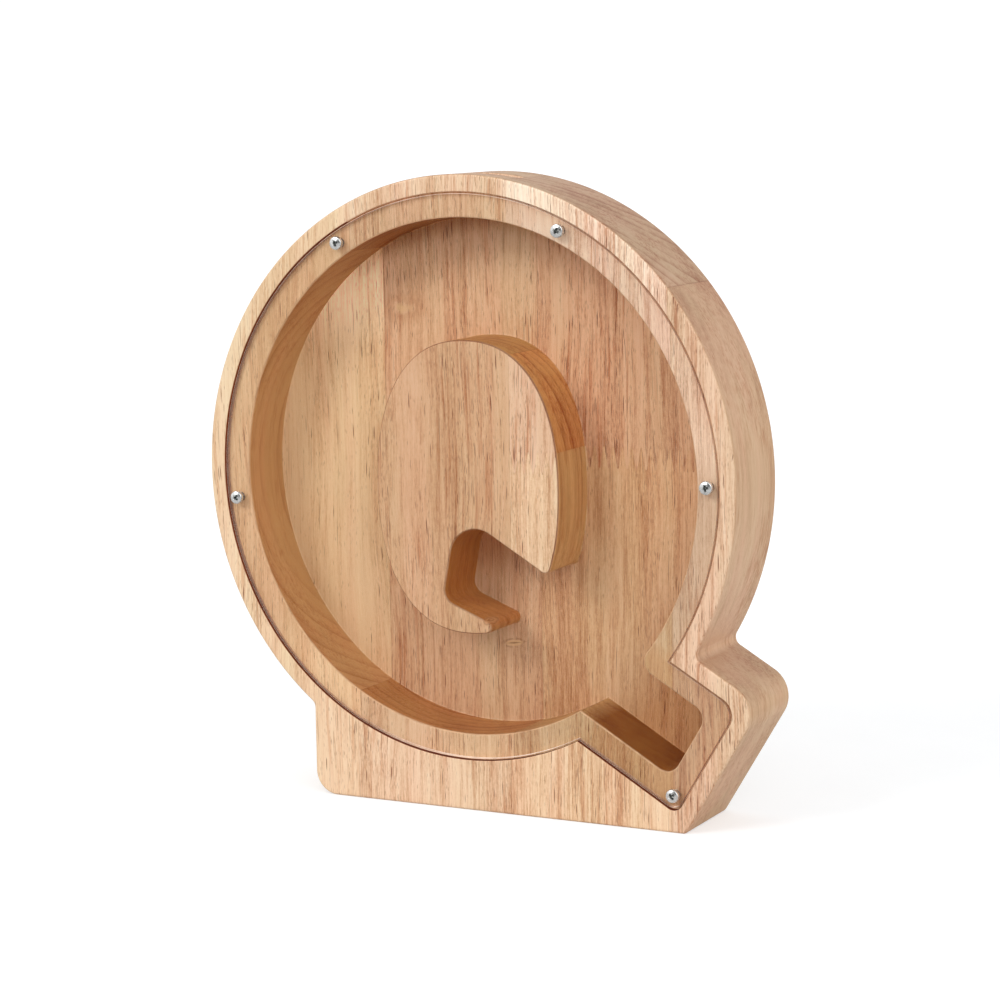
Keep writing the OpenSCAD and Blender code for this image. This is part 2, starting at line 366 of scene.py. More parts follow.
def slot_cutter():
    """The coin slot: straight below, with a softened mouth that follows the round top of the rim."""
    L, W, cy = 34.0, 5.0, YF + 13.5
    n = 20
    base = []
    for sx in (1, -1):
        for i in range(n + 1):
            a = -math.pi / 2 + math.pi * i / n + (0 if sx > 0 else math.pi)
            base.append(((L - W) / 2 * sx, math.cos(a), math.sin(a)))
    # straight sides get points as well
    pts = []
    k = len(base)
    for i in range(k):
        x0, c0, s0 = base[i]
        x1, c1, s1 = base[(i + 1) % k]
        pts.append((x0 + W / 2 * c0, W / 2 * s0, c0, s0))
        if abs(x1 - x0) > 1:
            for j in range(1, 29):
                t = j / 29
                pts.append((x0 + (x1 - x0) * t, W / 2 * s0, 0.0, s0))
    r = 0.8
    prof = [(-2.0, r + 0.0)] + [(r * (1 - math.cos(a)), r * (1 - math.sin(a))) for a in [math.pi / 2 * i / 5 for i in range(6)]]
    prof[1] = (-0.001, r)
    bm = bmesh.new()
    loops = []
    for d, o in prof:
        row = []
        for x, y, cx, sy in pts:
            X, Y = x + cx * o, y + sy * o
            zs = BOWL_Z + BOWL_RZ * math.sqrt(1 - (X / BOWL_RX) ** 2)
            row.append(bm.verts.new(((BX + X) * MM, (cy + Y) * MM, (zs - d) * MM)))
        loops.append(row)
    row = [bm.verts.new(((BX + x) * MM, (cy + y) * MM, (BOWL_Z + BOWL_RZ - 22) * MM)) for x, y, cx, sy in pts]
    loops.append(row)
    for a, b in zip(loops, loops[1:]):
        for i in range(len(a)):
            j = (i + 1) % len(a)
            bm.faces.new((a[i], a[j], b[j], b[i]))
    bmesh.ops.triangle_fill(bm, use_beauty=True, edges=[bm.edges.get((loops[0][i], loops[0][(i + 1) % len(pts)])) for i in range(len(pts))])
    bm.faces.new(loops[-1])
    bmesh.ops.recalc_face_normals(bm, faces=bm.faces)
    me = bpy.data.meshes.new("slot")
    bm.to_mesh(me)
    print("slot open edges", sum(not e.is_manifold for e in bm.edges))
    bm.free()
    return me


def fingers(x0, x1, z, n, L=7.0):
    p = (x1 - x0) / n
    f = p * 0.08
    out = [(x0, z)]
    for i in range(n):
        out += [(x0 + p * i + f, z), (x0 + p * (i + 0.5) - f, z - L), (x0 + p * (i + 0.5) + f, z - L), (x0 + p * (i + 1) - f, z)]
    return out + [(x1, z)]


SA, SB, SC = BX - 41.0, BX + 17.0, BX + 74.0
FN, FZ = 17, 120.5
PITCH = (SC - SB) / FN


def cell(poly, name):
    return prism(np.array(poly, float), YF - 5, YB + 5, name)


CELLS = {
    "stave_left": [(-150, -5), (SA, -5), (SA, 230), (-150, 230)],
    "stave_centre_left": [(SA, -5), (SB, -5), (SB, 230), (SA, 230)],
    "stave_centre_right_upper": fingers(SB, SC, FZ, FN) + [(SC, 230), (SB, 230)],
    "stave_centre_right_lower": [(SB, -5), (SC, -5)] + fingers(SB, SC, FZ, FN)[::-1],
    "stave_right": [(SC, -5), (150, -5), (150, 230), (SC, 230)],
}

block = make_block()
block = boolean(block, slot_cutter(), "DIFFERENCE")
for c in SCREWS.values():
    s = Shell()
    rings = [(1.35, Y_LEDGE + 9.5), (1.35, Y_LEDGE + 0.35), (1.7, Y_LEDGE), (1.7, Y_LEDGE - 1)]
    L = [s.loop(circle(c, r, 40), y) for r, y in rings]
    for a, b in zip(L, L[1:]):
        s.wall(a, b)
    s.cap([L[0]])
    s.cap([L[-1]])
    block = boolean(block, s.mesh("pilot"), "DIFFERENCE")

wood = {}
for node, poly in CELLS.items():
    me = boolean(block, cell(poly, "cell"), "INTERSECT")
    o = obj_of(me, node.replace("stave", "wood"))
    me.name = o.name
    wood[node] = o
    bm = bmesh.new()
    bm.from_mesh(me)
    print(node, "verts", len(bm.verts), "open", sum(not e.is_manifold for e in bm.edges), "volume mm3 %.0f" % (bm.calc_volume() * 1e9))
    bm.free()
    smooth(o)


# ------------------------------------------------------------------ the window
def make_window():
    P = glazing(RIM + GAP + 0.2)
    s = Shell()
    y0, y1 = Y_GLASS, Y_LEDGE - 0.04
    f = [s.loop(shift(P, -0.12), y0), s.loop(P, y0 + 0.12)]
    b = [s.loop(P, y1 - 0.12), s.loop(shift(P, -0.12), y1)]
    hf, hb = [], []
    for c in SCREWS.values():
        h0, h1 = s.loop(circle(c, WIN_HOLE / 2 + 0.08), y0), s.loop(circle(c, WIN_HOLE / 2), y0 + 0.08)
        h2, h3 = s.loop(circle(c, WIN_HOLE / 2), y1 - 0.08), s.loop(circle(c, WIN_HOLE / 2 + 0.08), y1)
        hf.append(h0)
        hb.append(h3)
        s.wall(h0, h1, 1)
        s.wall(h1, h2, 1)
        s.wall(h2, h3, 1)
    s.wall(f[0], f[1], 1)
    s.wall(f[1], b[0], 1)
    s.wall(b[0], b[1], 1)
    s.cap([f[0]] + hf, 0)
    s.cap([b[1]] + hb, 0)
    return s.mesh("window_pane")


window = obj_of(make_window(), "window_pane")
smooth(window, 32, False)


# ------------------------------------------------------------------ the screws
def make_screw(name, c, turn):
    """Pan head with a rounded rim and a tapered cross recess, a threaded shank and a point. Axis along -Y at c."""
    H, D, R = HEAD_H, HEAD_D, HEAD_D / 2
    n = 64
    prof = []
    # crown: a flat dome that turns over into a rounded rim
    rc = 0.55
    dome = 5.2
    top = H
    xs = np.linspace(0.0, R - rc * 0.72, 9)[1:]
    for x in xs:
        prof.append((x, top - (dome - math.sqrt(dome ** 2 - x ** 2))))
    x_e, z_e = prof[-1]
    for i in range(1, 8):
        t = i / 7
        # a smooth rim from the crown to the full radius
        a = math.pi / 2 * t
        prof.append((x_e + (R - x_e) * math.sin(a), z_e - (z_e - 0.28) * (1 - math.cos(a))))
    prof += [(R, 0.12), (R - 0.06, 0.0), (SHANK / 2 - 0.02, 0.0)]
    bm = bmesh.new()
    apex = bm.verts.new((0, 0, top))
    rows = []
    for r, z in prof:
        rows.append([bm.verts.new((r * math.cos(2 * math.pi * i / n), r * math.sin(2 * math.pi * i / n), z)) for i in range(n)])
    # threaded shank: core and ridge, one row every tenth of a turn
    core, crest, pitch, Ls = 0.95, SHANK / 2, 1.0, SCREW_L
    steps = int(Ls / pitch * 16)
    for k in range(1, steps):
        z = -Ls * k / steps
        row = []
        for i in range(n):
            a = 2 * math.pi * i / n
            ph = (-z / pitch - i / n) % 1.0
            ridge = max(0.0, 1 - abs(ph - 0.5) / 0.24)
            body_r = core + (crest - core) * ridge
            neck = min(1.0, max(0.0, (-z - 0.3) / 0.5))
            body_r = core + 0.2 * (1 - neck) + (body_r - core) * neck
            tip = min(1.0, (Ls + z) / 2.2)
            body_r = 0.1 + (body_r - 0.1) * tip
            row.append(bm.verts.new((body_r * math.cos(a), body_r * math.sin(a), z)))
        rows.append(row)
    end = bm.verts.new((0, 0, -Ls))
    for i in range(n):
        j = (i + 1) % n
        bm.faces.new((apex, rows[0][i], rows[0][j]))
        bm.faces.new((end, rows[-1][j], rows[-1][i]))
        for a, b in zip(rows, rows[1:]):
            bm.faces.new((a[i], b[i], b[j], a[j]))
    bmesh.ops.recalc_face_normals(bm, faces=bm.faces)
    me = bpy.data.meshes.new(name)
    bm.to_mesh(me)
    bm.free()
    # cross recess: two tapered wings and a core
    for k in range(2):
        bm = bmesh.new()
        w0, l0, w1, l1, d = 0.40, 1.22, 0.24, 0.55, 1.05
        v = []
        for z, w, l in ((top + 0.6, w0 + 0.10, l0 + 0.42), (top - d, w1, l1)):
            v.append([bm.verts.new((sx * l, sy * w, z)) for sx, sy in ((1, 1), (-1, 1), (-1, -1), (1, -1))])
        bm.faces.new(v[0])
        bm.faces.new(v[1][::-1])
        for i in range(4):
            j = (i + 1) % 4
            bm.faces.new((v[0][i], v[0][j], v[1][j], v[1][i]))
        bmesh.ops.recalc_face_normals(bm, faces=bm.faces)
        bmesh.ops.rotate(bm, verts=bm.verts, cent=(0, 0, 0), matrix=Matrix.Rotation(math.pi / 2 * k, 3, "Z"))
        cut = bpy.data.meshes.new("cross")
        bm.to_mesh(cut)
        bm.free()
        me = boolean(me, cut, "DIFFERENCE")
    s = Shell()
    L = [s.loop(circle((0, 0), r, 24), y) for r, y in ((0.75, top + 0.5), (0.62, top - 0.5), (0.45, top - 1.1), (0.05, top - 1.35))]
    for a, b in zip(L, L[1:]):
        s.wall(a, b)
    s.cap([L[0]])
    s.cap([L[-1]])
    core_me = s.mesh("core")
    core_me.transform(Matrix.Scale(1000, 4))
    # the shell helper has its axis on Y: bring it on to Z
    core_me.transform(Matrix(((1, 0, 0, 0), (0, 0, 1, 0), (0, 1, 0, 0), (0, 0, 0, 1))))
    bm = bmesh.new()
    bm.from_mesh(core_me)
    bmesh.ops.recalc_face_normals(bm, faces=bm.faces)
    bm.to_mesh(core_me)
    bm.free()
    me = boolean(me, core_me, "DIFFERENCE")
    bm = bmesh.new()
    bm.from_mesh(me)
    bmesh.ops.triangulate(bm, faces=bm.faces)
    bmesh.ops.dissolve_degenerate(bm, dist=0.001, edges=bm.edges)
    bmesh.ops.triangulate(bm, faces=bm.faces)
    if any(not e.is_manifold for e in bm.edges):
        print(name, "open edges after tidying")
    bm.to_mesh(me)
    bm.free()
    # local z is the way out of the wood: -Y
    M = Matrix.Translation((c[0] * MM, Y_GLASS * MM, c[1] * MM)) @ Matrix.Rotation(math.pi / 2, 4, "X") @ Matrix.Rotation(math.radians(turn), 4, "Z") @ Matrix.Scale(MM, 4)
    me.transform(M)
    o = obj_of(me, name)
    me.name = name
    smooth(o, 38)
    return o


TURNS = {"screw_top_left": 20, "screw_top_right": 63, "screw_left": 52, "screw_right": 8, "screw_tail": 36}
screws = {n: make_screw(n.replace("screw", "fastener"), SCREWS[n], TURNS[n]) for n in SCREWS}


# ------------------------------------------------------------------ node helpers
class Nodes:
    def __init__(self, name):
        self.m = bpy.data.materials.new(name)
        self.m.use_nodes = True
        self.t = self.m.node_tree
        self.t.nodes.clear()
        self.out = self.t.nodes.new("ShaderNodeOutputMaterial")

    def new(self, kind, **kw):
        n = self.t.nodes.new(kind)
        for k, v in kw.items():
            setattr(n, k, v)
        return n

    def link(self, a, b):
        self.t.links.new(a, b)

    def put(self, sock, v):
        if hasattr(v, "links"):
            self.link(v, sock)
        else:
            sock.default_value = v

    def math(self, op, a, b=0.0, c=None, clamp=False):
        n = self.new("ShaderNodeMath", operation=op, use_clamp=clamp)
        self.put(n.inputs[0], a)
        self.put(n.inputs[1], b)
        if c is not None:
            self.put(n.inputs[2], c)
        return n.outputs[0]

    def vmath(self, op, a, b=(0, 0, 0)):
        n = self.new("ShaderNodeVectorMath", operation=op)
        self.put(n.inputs[0], a)
        self.put(n.inputs[1], b)
        return n.outputs["Value"] if op in ("LENGTH", "DISTANCE", "DOT_PRODUCT") else n.outputs[0]

    def ramp(self, fac, stops, interp="LINEAR"):
        n = self.new("ShaderNodeValToRGB")
        n.color_ramp.interpolation = interp
        e = n.color_ramp.elements
        while len(e) > 1:
            e.remove(e[-1])
        e[0].position = stops[0][0]
        e[0].color = col(stops[0][1])
        for p, c in stops[1:]:
            x = e.new(p)
            x.color = col(c)
        self.put(n.inputs[0], fac)
        return n.outputs[0]

    def map(self, v, a, b, c=0.0, d=1.0, clamp=True, smooth=False):
        n = self.new("ShaderNodeMapRange", clamp=clamp)
        if smooth:
            n.interpolation_type = "SMOOTHSTEP"
        for i, x in enumerate((v, a, b, c, d)):
            self.put(n.inputs[i], x)
        return n.outputs[0]

    def noise(self, vec, scale=1.0, detail=2.0, rough=0.5, dist=0.0, dims="3D"):
        n = self.new("ShaderNodeTexNoise", noise_dimensions=dims)
        self.put(n.inputs["Vector"], vec)
        n.inputs["Scale"].default_value = scale
        n.inputs["Detail"].default_value = detail
        n.inputs["Roughness"].default_value = rough
        n.inputs["Distortion"].default_value = dist
        return n.outputs[0]

    def mix(self, fac, a, b, mode="MIX", clamp=True):
        n = self.new("ShaderNodeMix", data_type="RGBA", blend_type=mode, clamp_factor=clamp)
        self.put(n.inputs[0], fac)
        self.put(n.inputs[6], col(a) if isinstance(a, tuple) else a)
        self.put(n.inputs[7], col(b) if isinstance(b, tuple) else b)
        return n.outputs[2]


def srgb(r, g, b):
    f = lambda c: (c / 255) / 12.92 if c / 255 <= 0.04045 else ((c / 255 + 0.055) / 1.055) ** 2.4
    return (f(r), f(g), f(b))


def col(c):
    return tuple(c) if len(c) == 4 else (c[0], c[1], c[2], 1.0)


# ------------------------------------------------------------------ wood
def wood_material(name, seed, light, mid, dark, pith, ring=0.35, streak=0.5, pores=0.5, seams=(), finger=None, knots=(), lean=0.0, burr=(), eye=(), isle=(1.0, 1.0, 1.0), isle_wall_shade=(1.0, 1.0, 1.0), wall=(1.0, 1.0, 1.0), ledge=(1.0, 1.0, 1.0), bed=(1.0, 1.0, 1.0), front=(1.0, 1.0, 1.0), rind=(1.0, 1.0, 1.0), ledge_light=0.0, groove_shade_top=1.0, skin=1.0, grit=1.0, broad=1.0, bands=()):
    """Rubberwood: growth rings about an upright pith line, long fibres, fine dark vessels cut as dashes on the faces
    and as dots on the end grain, and dark glue lines. All of it is worked out from the place in the block. On top of
    that it paints shade and light: darker, warmer walls and corners in the hollow, a shade line in the gap beside the
    pane, a darker top and sides outside, and a paler edge at the hollow's mouth."""
    N = Nodes(name)
    tc = N.new("ShaderNodeTexCoord")
    mm = N.vmath("SCALE", tc.outputs["Object"])
    mm.node.inputs["Scale"].default_value = 1000.0
    sep = N.new("ShaderNodeSeparateXYZ")
    N.link(mm, sep.inputs[0])
    x, y, z = sep.outputs
    # slow drift of the grain, so that the fibres are never ruler-straight
    low = N_comb(N, N.math("ADD", N.math("MULTIPLY", x, 0.022), seed * 7.31), N.math("MULTIPLY", y, 0.022), N.math("MULTIPLY", z, 0.011))
    w1 = N.math("SUBTRACT", N.noise(low, 1.0, 2.0, 0.5), 0.5)
    w2 = N.math("SUBTRACT", N.noise(N.vmath("ADD", low, (31.7, 12.1, 5.3)), 1.0, 2.0, 0.5), 0.5)
    xs = N.math("ADD", N.math("ADD", x, N.math("MULTIPLY", w1, 7.0)), N.math("MULTIPLY", z, lean))
    ys = N.math("ADD", y, N.math("MULTIPLY", w2, 7.0))
    # fibres part around a knot
    kmask = kring = None
    for kx, ky, kz, kr in knots:
        dx, dy, dz = N.math("SUBTRACT", x, kx), N.math("SUBTRACT", y, ky), N.math("SUBTRACT", z, kz)
        d2 = N.math("ADD", N.math("ADD", N.math("MULTIPLY", dx, dx), N.math("MULTIPLY", N.math("MULTIPLY", dy, dy), 0.12)), N.math("MULTIPLY", N.math("MULTIPLY", dz, dz), 0.5))
        d = N.math("SQRT", d2)
        near = N.map(d, 0.0, kr * 4.0, 1.0, 0.0, smooth=True)
        xs = N.math("ADD", xs, N.math("MULTIPLY", N.math("MULTIPLY", dx, near), -0.75))
        wob = N.math("ADD", d, N.math("MULTIPLY", N.math("SUBTRACT", N.noise(mm, 0.5, 2.0), 0.5), kr * 0.5))
        m = N.map(wob, kr * 0.6, kr * 1.1, 1.0, 0.0, smooth=True)
        rr = N.math("FRACT", N.math("MULTIPLY", wob, 2.4 / kr))
        kmask = m if kmask is None else N.math("MAXIMUM", kmask, m)
        kring = rr if kring is None else N.math("ADD", N.math("MULTIPLY", kring, N.math("SUBTRACT", 1.0, m)), N.math("MULTIPLY", rr, m))

    def vec(ax, ay, az, off):
        return N_comb(N, N.math("ADD", N.math("MULTIPLY", xs, ax), seed * 13.7 + off), N.math("ADD", N.math("MULTIPLY", ys, ay), seed * 5.9 + off * 1.7), N.math("ADD", N.math("MULTIPLY", z, az), seed * 3.1 + off * 0.6))

    # which way the surface is cut: face (looks along Y), side (along X) or end grain (along Z)
    geo = N.new("ShaderNodeNewGeometry")
    ns = N.new("ShaderNodeSeparateXYZ")
    N.link(geo.outputs["Normal"], ns.inputs[0])
    nx, ny, nz = (N.math("ABSOLUTE", o) for o in ns.outputs)
    flat = N.math("GREATER_THAN", ny, 0.6)
    upright = N.math("GREATER_THAN", nx, N.math("MULTIPLY", nz, 0.8))
    side = N.math("MULTIPLY", N.math("SUBTRACT", 1.0, flat), upright)
    end = N.math("MULTIPLY", N.math("SUBTRACT", 1.0, flat), N.math("SUBTRACT", 1.0, upright))
    u = N.math("ADD", N.math("MULTIPLY", xs, N.math("SUBTRACT", 1.0, side)), N.math("MULTIPLY", ys, side))

    def cell(su, sv, off):
        """cells for the vessels: long ones along the grain, round ones on the end grain"""
        v = N.math("ADD", N.math("MULTIPLY", z, N.math("MULTIPLY", N.math("SUBTRACT", 1.0, end), sv)), N.math("MULTIPLY", ys, N.math("MULTIPLY", end, su)))
        n = N.new("ShaderNodeTexVoronoi", voronoi_dimensions="2D", feature="F1")
        N.put(n.inputs["Vector"], N_comb(N, N.math("ADD", N.math("MULTIPLY", u, su), seed * 17.3 + off), N.math("ADD", v, seed * 9.1 + off * 2.3), 0.0))
        n.inputs["Scale"].default_value = 1.0
        c = N.new("ShaderNodeSeparateColor")
        N.link(n.outputs["Color"], c.inputs[0])
        return n.outputs["Distance"], c.outputs

    # growth rings
    px, py = pith
    rx, ry = N.math("SUBTRACT", xs, px), N.math("SUBTRACT", ys, py)
    rad = N.math("SQRT", N.math("ADD", N.math("MULTIPLY", rx, rx), N.math("MULTIPLY", ry, ry)))
    rad = N.math("ADD", rad, N.math("MULTIPLY", N.math("SUBTRACT", N.noise(vec(0.016, 0.016, 0.005, 40), 1.0, 2.0, 0.5), 0.5), 9.0))
    ph = N.math("MULTIPLY", rad, 1 / 4.6)
    fr = N.math("FRACT", ph)
    ring_v = N.math("POWER", N.math("MULTIPLY", N.map(fr, 0.0, 0.8, 0.0, 1.0), N.map(fr, 0.82, 1.0, 1.0, 0.0)), 2.6)
    ring_id = N.noise(N_comb(N, N.math("FLOOR", ph), seed, 0.0), 1.7, 0.0)
    ring_v = N.math("MULTIPLY", ring_v, N.map(ring_id, 0.35, 0.65, 0.35, 1.25))
    ring_v = N.math("MULTIPLY", ring_v, N.math("ADD", 0.30, N.math("MULTIPLY", N.math("SUBTRACT", 1.0, flat), 0.85)))
    ring_v = N.math("MULTIPLY", ring_v, RING_MASK(N, x, y, z, flat, skin))
    ring_v = N.math("MULTIPLY", ring_v, NOTCH_MASK(N, x, z, flat))
    # broad bands, streaks and fibres, all long in Z
    band = N.math("SUBTRACT", N.noise(vec(0.062, 0.062, 0.0035, 0), 1.0, 2.0, 0.5), 0.5)
    stre = N.math("SUBTRACT", N.noise(vec(0.42, 0.42, 0.010, 10), 1.0, 3.0, 0.55), 0.5)
    fib = N.math("SUBTRACT", N.noise(vec(1.9, 1.9, 0.05, 20), 1.0, 3.0, 0.62), 0.5)
    fine = N.math("SUBTRACT", N.noise(vec(4.8, 4.8, 0.42, 25), 1.0, 2.0, 0.6), 0.5)
    fleck = N.math("SUBTRACT", N.noise(vec(1.3, 1.3, 1.7, 28), 1.0, 3.0, 0.65), 0.5)
    calm = N.math("ADD", 0.42, N.math("MULTIPLY", flat, 0.58))
    t = N.math("ADD", N.math("MULTIPLY", stre, 0.35 + 0.95 * streak), N.math("MULTIPLY", fib, 1.0))
    t = N.math("ADD", t, N.math("MULTIPLY", fine, 0.75))
    t = N.math("MULTIPLY", N.math("ADD", t, N.math("MULTIPLY", fleck, 0.25)), N.math("MULTIPLY", calm, grit))
    t = N.math("ADD", t, N.math("MULTIPLY", band, 0.90 * broad))
    t = N.math("ADD", t, 0.45)
    t = N.math("ADD", t, N.math("MULTIPLY", ring_v, ring))
    base = N.ramp(N.math("MINIMUM", N.math("MAXIMUM", t, 0.0), 1.0), [(0.0, light), (0.45, mid), (1.0, dark)])
    # hue drifts between yellow tan and pink from band to band
    hue = N.map(N.noise(vec(0.075, 0.075, 0.004, 50), 1.0, 3.0, 0.55), 0.36, 0.64, 0.0, 1.0, smooth=True)
    tint = N.mix(hue, srgb(252, 252, 247), srgb(255, 249, 247))
    base = N.mix(1.0, base, tint, "MULTIPLY")
    # vessels
    crowd = N.map(N.noise(vec(0.10, 0.10, 0.008, 70), 1.0, 3.0, 0.6), 0.38, 0.62, 0.0, 1.0, smooth=True)
    crowd = N.math("ADD", 0.12, N.math("MULTIPLY", crowd, 0.88))
    red = N.math("MULTIPLY", crowd, N.map(N.noise(vec(1.1, 1.1, 0.022, 55), 1.0, 3.0, 0.6), 0.42, 0.72, 0.0, 1.0, smooth=True))
    base = N.mix(N.math("MULTIPLY", red, 0.35 + 0.65 * streak), base, N.mix(1.0, base, srgb(218, 176, 150), "MULTIPLY"))
    d1, c1 = cell(1.15, 0.072, 60)
    has = N.math("LESS_THAN", c1[0], N.math("MULTIPLY", crowd, 0.22 + 0.78 * pores))
    size = N.math("ADD", 0.065, N.math("MULTIPLY", N.math("POWER", c1[1], 2.0), 0.15))
    dash = N.map(d1, N.math("MULTIPLY", size, 0.5), N.math("MULTIPLY", size, 1.3), 1.0, 0.0, smooth=True)
    dash = N.math("MULTIPLY", N.math("MULTIPLY", dash, has), N.math("ADD", 0.25, N.math("MULTIPLY", c1[2], 0.75)))
    d2, c2 = cell(1.7, 0.26, 80)
    has2 = N.math("LESS_THAN", c2[0], N.math("MULTIPLY", crowd, 0.25 + 0.6 * pores))
    dash2 = N.math("MULTIPLY", N.math("MULTIPLY", N.map(d2, 0.08, 0.26, 1.0, 0.0, smooth=True), has2), N.math("ADD", 0.15, N.math("MULTIPLY", c2[1], 0.35)))
    d3, c3 = cell(1.05, 0.030, 90)
    has3 = N.math("LESS_THAN", c3[0], N.math("MULTIPLY", crowd, 0.35 + 0.6 * pores))
    dash3 = N.math("MULTIPLY", N.math("MULTIPLY", N.map(d3, 0.05, 0.22, 1.0, 0.0, smooth=True), has3), N.math("ADD", 0.10, N.math("MULTIPLY", c3[1], 0.50)))
    pore = N.math("MAXIMUM", N.math("MAXIMUM", dash, dash2), dash3)
    plain = N.math("MAXIMUM", end, side)
    pore = N.math("MULTIPLY", pore, N.math("SUBTRACT", 1.0, N.math("MULTIPLY", plain, 0.78)))
    base = N.mix(N.math("MULTIPLY", pore, 1.0), base, N.mix(1.0, base, srgb(132, 79, 48), "MULTIPLY"))
    # painted shade and warm bounce light on the hollow's walls: they are tinted a darker, warmer brown, with a further
    # tint per stave
    ex, ez = N.math("DIVIDE", N.math("SUBTRACT", x, BX), BOWL_RX - RIM - LEDGE + 1.2), N.math("DIVIDE", N.math("SUBTRACT", z, BOWL_Z), BOWL_RZ - RIM - LEDGE + 1.2)
    in_bowl = N.math("LESS_THAN", N.math("ADD", N.math("MULTIPLY", ex, ex), N.math("MULTIPLY", ez, ez)), 1.0)
    tu = N.math("ADD", N.math("MULTIPLY", N.math("SUBTRACT", x, BX), float(TU[0])), N.math("MULTIPLY", N.math("SUBTRACT", z, BOWL_Z), float(TU[1])))
    tv = N.math("ADD", N.math("MULTIPLY", N.math("SUBTRACT", x, BX), float(TV[0])), N.math("MULTIPLY", N.math("SUBTRACT", z, BOWL_Z), float(TV[1])))
    vm = -T_TOP - T_W / 2
    in_tail = N.math("MULTIPLY", N.math("LESS_THAN", N.math("ABSOLUTE", N.math("SUBTRACT", tv, vm)), T_W / 2 - RIM - LEDGE + 1.2), N.math("MULTIPLY", N.math("GREATER_THAN", tu, 60.0), N.math("LESS_THAN", tu, T_REACH - RIM - LEDGE + 1.2)))
    # the notch's own fillet bulges out of both
    inside = N.math("MAXIMUM", in_bowl, in_tail)
    deep = N.map(y, Y_LEDGE + 0.2, Y_LEDGE + 1.2, 0.0, 1.0)
    wallm = N.math("MULTIPLY", N.math("MULTIPLY", inside, deep), N.map(ny, 0.35, 0.8, 1.0, 0.0))
    # the superellipse that bounds the island: 1 on its wall
    sx_ = N.math("POWER", N.math("ABSOLUTE", N.math("DIVIDE", N.math("SUBTRACT", x, BX + ISL_X), ISL_RX)), ISL_N)
    sz_ = N.math("POWER", N.math("ABSOLUTE", N.math("DIVIDE", N.math("SUBTRACT", z, ISL_Z), ISL_RZ)), ISL_N)
    s_isl = N.math("ADD", sx_, sz_)
    on_isl = N.math("LESS_THAN", s_isl, 1.07)
    in_notch = N.map(s_isl, 0.90, 0.96, 1.0, 0.0)
    base = N.mix(N.math("MULTIPLY", wallm, WALL_SHADE_MIX), base, N.mix(1.0, base, WALL_SHADE_TINT, "MULTIPLY"))
    base = N.mix(N.math("MULTIPLY", wallm, N.math("SUBTRACT", 1.0, on_isl)), base, N.mix(1.0, base, wall, "MULTIPLY"))
    base = N.mix(N.math("MULTIPLY", wallm, N.math("MULTIPLY", on_isl, N.math("SUBTRACT", 1.0, in_notch))), base, N.mix(1.0, base, isle_wall_shade, "MULTIPLY", clamp=False))
    # painted shade in the notch below the island, stronger towards its top
    base = N.mix(N.math("MULTIPLY", wallm, N.math("MULTIPLY", on_isl, N.math("MULTIPLY", in_notch, N.map(z, 57.0, 74.0, 0.60, 1.0)))), base, N.mix(1.0, base, NOTCH_SHADE_TINT, "MULTIPLY"))
    # painted shade on the walls deep in the narrow tail
    tail_wall_shade = N.math("MULTIPLY", N.math("SUBTRACT", 1.0, on_isl), N.map(tu, 74.0, 80.0, 0.0, 1.0))
    base = N.mix(N.math("MULTIPLY", wallm, tail_wall_shade), base, N.mix(1.0, base, TAIL_SHADE_TINT, "MULTIPLY"))
    # painted shade on the hollow's walls that face down, away from the light
    down_shade = N.map(ns.outputs[2], -0.5, -0.95, 0.0, 1.0)
    base = N.mix(N.math("MULTIPLY", N.math("MULTIPLY", wallm, down_shade), N.math("SUBTRACT", 1.0, on_isl)), base, N.mix(1.0, base, DOWN_SHADE_TINT, "MULTIPLY"))
    # end grain on the outside is duller and darker: the tint on the upward faces is partly the end grain's own tone and
    # partly painted shade on the top; the outer sides get a painted shade tint, less on faces turned down
    outer = N.math("MULTIPLY", N.math("SUBTRACT", 1.0, wallm), N.map(ny, 0.35, 0.8, 1.0, 0.0))
    base = N.mix(N.math("MULTIPLY", outer, N.map(ns.outputs[2], 0.15, 0.85, 0.0, 1.0)), base, N.mix(1.0, base, END_GRAIN_SHADE_TINT, "MULTIPLY"))
    base = N.mix(N.math("MULTIPLY", outer, N.math("MULTIPLY", N.map(ns.outputs[2], 0.15, 0.85, 1.0, 0.0), N.map(ns.outputs[2], -0.3, 0.0, 0.3, 1.0))), base, N.mix(1.0, base, SIDE_SHADE_TINT, "MULTIPLY"))
    base = N.mix(outer, base, N.mix(1.0, base, rind, "MULTIPLY", clamp=False))
    # the island's face, and a painted shade line along its edge
    top_isl = N.math("MULTIPLY", on_isl, N.map(y, Y_LEDGE + 0.1, Y_LEDGE + 0.7, 1.0, 0.0))
    base = N.mix(N.math("MULTIPLY", top_isl, flat), base, N.mix(1.0, base, isle, "MULTIPLY", clamp=False))
    isl_edge_shade = N.math("MULTIPLY", top_isl, N.math("MULTIPLY", N.map(s_isl, 0.965, 0.985, 0.0, 1.0), N.map(ny, 0.97, 0.8, 0.0, 1.0)))
    base = N.mix(N.math("MULTIPLY", isl_edge_shade, 0.8), base, N.mix(1.0, base, srgb(170, 124, 92), "MULTIPLY"))
